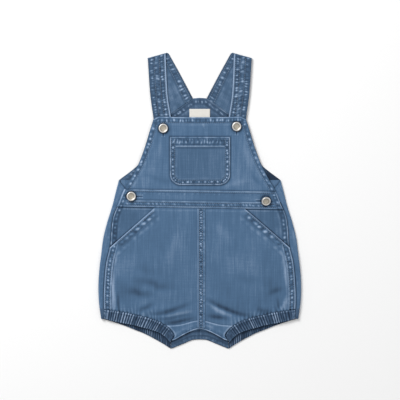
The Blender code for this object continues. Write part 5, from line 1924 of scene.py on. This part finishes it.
def make_thread_material():
    material = bpy.data.materials.new("thread")
    material.use_nodes = True
    tree = material.node_tree
    shader = tree.nodes["Principled BSDF"]
    shader.inputs["Roughness"].default_value = 0.7
    place = tree.nodes.new("ShaderNodeTexCoord").outputs["Object"]
    fade = cloudy(tree, place, 70.0, 70.0, 2.0)
    share = linked(tree, "ShaderNodeClamp", Value=maths(tree, "MULTIPLY_ADD", fade, 1.6, 0.5))
    colours = [linked(tree, "ShaderNodeRGB") for _ in range(2)]
    colours[0].outputs[0].default_value = (0.14, 0.21, 0.31, 1.0)
    colours[1].outputs[0].default_value = (0.34, 0.42, 0.53, 1.0)
    tree.links.new(mixed(tree, share.outputs[0], colours[0].outputs[0], colours[1].outputs[0]),
        shader.inputs["Base Color"])
    twist = cloudy(tree, place, 2500.0, 2500.0, 1.0)
    bump = linked(tree, "ShaderNodeBump", Strength=0.4, Distance=0.0001, Height=twist)
    tree.links.new(bump.outputs[0], shader.inputs["Normal"])
    return material


def make_stitch_tree(material):
    tree = bpy.data.node_groups.new("stitch_row", "GeometryNodeTree")
    tree.interface.new_socket("Geometry", in_out="INPUT", socket_type="NodeSocketGeometry")
    for name, value in (("Pitch", STITCH_PITCH * MM), ("Length", STITCH_LENGTH * MM),
        ("Thread", THREAD * MM)):
        tree.interface.new_socket(name, in_out="INPUT",
            socket_type="NodeSocketFloat").default_value = value
    tree.interface.new_socket("Geometry", in_out="OUTPUT", socket_type="NodeSocketGeometry")
    given = tree.nodes.new("NodeGroupInput")
    result = tree.nodes.new("NodeGroupOutput")
    path = tree.nodes.new("GeometryNodeMeshToCurve")
    tree.links.new(given.outputs["Geometry"], path.inputs["Mesh"])
    spaced = tree.nodes.new("GeometryNodeResampleCurve")
    spaced.mode = "LENGTH"
    tree.links.new(path.outputs["Curve"], spaced.inputs["Curve"])
    tree.links.new(given.outputs["Pitch"], spaced.inputs["Length"])
    body = tree.nodes.new("GeometryNodeMeshUVSphere")
    body.inputs["Segments"].default_value = 6
    body.inputs["Rings"].default_value = 4
    body.inputs["Radius"].default_value = 0.5
    turn = tree.nodes.new("FunctionNodeAlignRotationToVector")
    turn.axis = "Z"
    tangent = tree.nodes.new("GeometryNodeInputTangent")
    tree.links.new(tangent.outputs[0], turn.inputs["Vector"])
    size = tree.nodes.new("ShaderNodeCombineXYZ")
    tree.links.new(given.outputs["Thread"], size.inputs[0])
    tree.links.new(given.outputs["Thread"], size.inputs[1])
    tree.links.new(given.outputs["Length"], size.inputs[2])
    sewn = tree.nodes.new("GeometryNodeInstanceOnPoints")
    tree.links.new(spaced.outputs["Curve"], sewn.inputs["Points"])
    tree.links.new(body.outputs["Mesh"], sewn.inputs["Instance"])
    tree.links.new(turn.outputs[0], sewn.inputs["Rotation"])
    tree.links.new(size.outputs[0], sewn.inputs["Scale"])
    real = tree.nodes.new("GeometryNodeRealizeInstances")
    tree.links.new(sewn.outputs["Instances"], real.inputs["Geometry"])
    smooth = tree.nodes.new("GeometryNodeSetShadeSmooth")
    tree.links.new(real.outputs["Geometry"], smooth.inputs["Geometry"])
    dyed = tree.nodes.new("GeometryNodeSetMaterial")
    dyed.inputs["Material"].default_value = material
    tree.links.new(smooth.outputs[0], dyed.inputs["Geometry"])
    tree.links.new(dyed.outputs["Geometry"], result.inputs["Geometry"])
    return tree


thread_material = make_thread_material()
stitch_tree = make_stitch_tree(thread_material)


def sew(name, lines, pitch=STITCH_PITCH, length=STITCH_LENGTH, thread=THREAD):
    """Rows of stitches along lines of points in space, as one mesh."""
    points, edges = [], []
    for line in lines:
        start = len(points)
        points.extend(((line + np.array([0.0, UP, 0.0])) * MM).tolist())
        edges.extend((start + k, start + k + 1) for k in range(len(line) - 1))
    mesh = bpy.data.meshes.new(name + "_path")
    mesh.from_pydata(points, edges, [])
    path = bpy.data.objects.new(name + "_path", mesh)
    bpy.context.scene.collection.objects.link(path)
    sewing = path.modifiers.new("sewing", "NODES")
    sewing.node_group = stitch_tree
    for item in stitch_tree.interface.items_tree:
        if item.in_out == "INPUT" and item.name in ("Pitch", "Length", "Thread"):
            sewing[item.identifier] = {"Pitch": pitch, "Length": length,
                "Thread": thread}[item.name] * MM
    bpy.context.view_layer.update()
    ready = path.evaluated_get(bpy.context.evaluated_depsgraph_get())
    result = bpy.data.meshes.new_from_object(ready)
    bpy.data.objects.remove(path)
    item = bpy.data.objects.new(name, result)
    bpy.context.scene.collection.objects.link(item)
    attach(item, "root")
    made[name] = item
    print(name, "rows", len(lines), "faces", len(result.polygons))
    return item


# %% Where the stitches run
THREAD_SINK = 0.02


def on_top(plan, rise, thickness, finish):
    """A line of plan points lifted onto the face of a front piece."""
    x, y = plan[:, 0], plan[:, 1]
    relief, _ = finish(x, y)
    return np.column_stack([x, y, front_height(x, y) + rise + thickness + relief - THREAD_SINK])


def side_row(inward, top, low, side):
    along = np.linspace(top, low, 60)
    return np.column_stack([(half_width(FRONT_EDGE, along) - inward / SIDE_SLOPE) * side, along])


def bib_rows():
    rows = []
    for inward in BIB_TOP_BAND.rows:
        x = np.linspace(-66.0 + inward, 66.0 - inward, 90)
        rows.append(on_top(np.column_stack([x, bib_brow(x) - inward]), 0.0, CLOTH, finish_bib))
    for side in (-1.0, 1.0):
        for inward in BIB_SIDE_BAND.rows:
            rows.append(on_top(side_row(inward, 119.0 - inward, WAIST_TOP + 2.0, side), 0.0, CLOTH,
                finish_bib))
    return rows


def waist_rows():
    rows = []
    for height in (WAIST_TOP - 2.4, WAIST_BOTTOM + WAIST_RIDGE - 1.6, WAIST_BOTTOM + 2.2):
        half = half_width(FRONT_EDGE, height) - 3.0
        rows.append(on_top(waist_line(height, np.linspace(-half, half, 160)), 0.0, DOUBLE_CLOTH,
            finish_waistband))
    return rows


def pocket_rows():
    rows = []
    for inward in POCKET_BAND.rows:
        half, low, radius = POCKET_HALF - inward, POCKET_LOW + inward, max(POCKET_CORNER - inward, 2.0)
        turn = np.linspace(0.0, math.pi / 2.0, 12)
        corner = np.column_stack([half - radius + radius * np.cos(turn),
            low + radius - radius * np.sin(turn)])
        right = joined(np.array([[half, POCKET_TOP - 1.5], corner[0]]), corner)
        ring = np.vstack([right, turned_over(right[::-1])]) + np.array([POCKET_MIDDLE, 0.0])
        rows.append(curve_points([Spot(*spot) for spot in ring], 160))
    rows.append(np.column_stack([np.linspace(-34.0, 35.0, 60), np.full(60, POCKET_TOP - POCKET_HEM)]))
    return [on_top(row, CLOTH + GAP, CLOTH, finish_pocket) for row in rows]


def strip_rows():
    """Two rows on every strip of the front."""
    rows = []
    start, length, run, below = mouth_frame()
    for side in (-1.0, 1.0):
        mirror = np.array([side, 1.0])
        reach = np.linspace(MOUTH_BAND_START + 1.0, length - MOUTH_BAND_STOP - 1.0, 60)
        for drop in (MOUTH_BAND_EDGE + 1.6,):
            plan = (start + np.outer(reach, run) + below * drop) * mirror
            rows.append(lifted(plan, 0.1))
        along = np.linspace(MOUTH_END.along - SIDE_SEAM_START - 1.0, FRONT_HEM_TOP[0].along + 2.0, 60)
        for inward in (2.3, 8.2):
            edge = half_width(FRONT_EDGE, along) - HALF_SEAM - SIDE_SEAM_INSET - inward
            rows.append(lifted(np.column_stack([edge * side, along]), 0.05))
    along = np.linspace(WAIST_BOTTOM - 2.0, FRONT_CROTCH_LOW[-1].along + 2.5, 120)
    for inward in (3.0, 7.6):
        rows.append(lifted(np.column_stack([np.full(120, CENTRE_SEAM_LEFT + inward), along]), 0.05))
    return rows


def lifted(plan, more):
    x, y = plan[:, 0], plan[:, 1]
    return np.column_stack([x, y, front_height(x, y) + CLOTH + finish_leg(x, y)[0] + STRIP_THIN
        + STRIP_RISE + more])


def strap_rows(side):
    """Four rows on the front run of a strap and two on its back run."""
    rows = []
    count = 60
    outer_edge = curve_points(STRAP_FRONT_OUTER, count)
    inner_edge = curve_points(STRAP_FRONT_INNER, count)
    for across in (9.0, 16.8, 23.2):
        line = outer_edge + (inner_edge - outer_edge) * across / STRAP_WIDTH
        keep = (line[:, 1] > 127.0) & (line[:, 1] < 212.0)
        level = strap_level(line[:, 1]) + STRAP_CLOTH + 0.08
        rows.append(np.column_stack([line * np.array([side, 1.0]), level])[keep])
    outer_edge = curve_points(STRAP_BACK_OUTER, count)
    inner_edge = curve_points(STRAP_BACK_INNER, count)
    for across in (STRAP_WIDTH - 2.2, STRAP_WIDTH - 7.6):
        line = outer_edge + (inner_edge - outer_edge) * across / STRAP_WIDTH
        rows.append(np.column_stack([line * np.array([side, 1.0]),
            np.full(len(line), STRAP_CLOTH + 0.1)])[4:-2])
    return rows


sew("stitches_bib", bib_rows())
sew("stitches_waistband", waist_rows())
sew("stitches_pocket", pocket_rows())
sew("stitches_strips", strip_rows(), pitch=3.3, length=2.3)
for word, side in (("left", -1.0), ("right", 1.0)):
    sew("stitches_strap_" + word, strap_rows(side), pitch=STRAP_LADDER * 0.75)

# %% Sheets of cloth, with the size each was cut to
cut_sizes = {}


def cut_size(item):
    """Width, length and area of the flat cut, from the flat map."""
    mesh = item.data
    flat = np.zeros(len(mesh.loops) * 2, np.float32)
    mesh.uv_layers["cut"].data.foreach_get("uv", flat)
    flat = flat.reshape(-1, 2).astype(float)
    quads = flat.reshape(-1, 4, 2)
    one, two = quads[:, 2] - quads[:, 0], quads[:, 3] - quads[:, 1]
    area = np.abs(one[:, 0] * two[:, 1] - one[:, 1] * two[:, 0]).sum() / 4.0
    width, length = flat.max(axis=0) - flat.min(axis=0)
    return float(width), float(length), float(area)


for name, item in sorted(made.items()):
    if "_cloth" not in name:
        continue
    width, length, area = cut_size(item)
    cut_sizes[name] = (round(width * 1000), round(length * 1000), round(area * 1e4))
print("cut sizes, mm by mm and square cm:", cut_sizes)
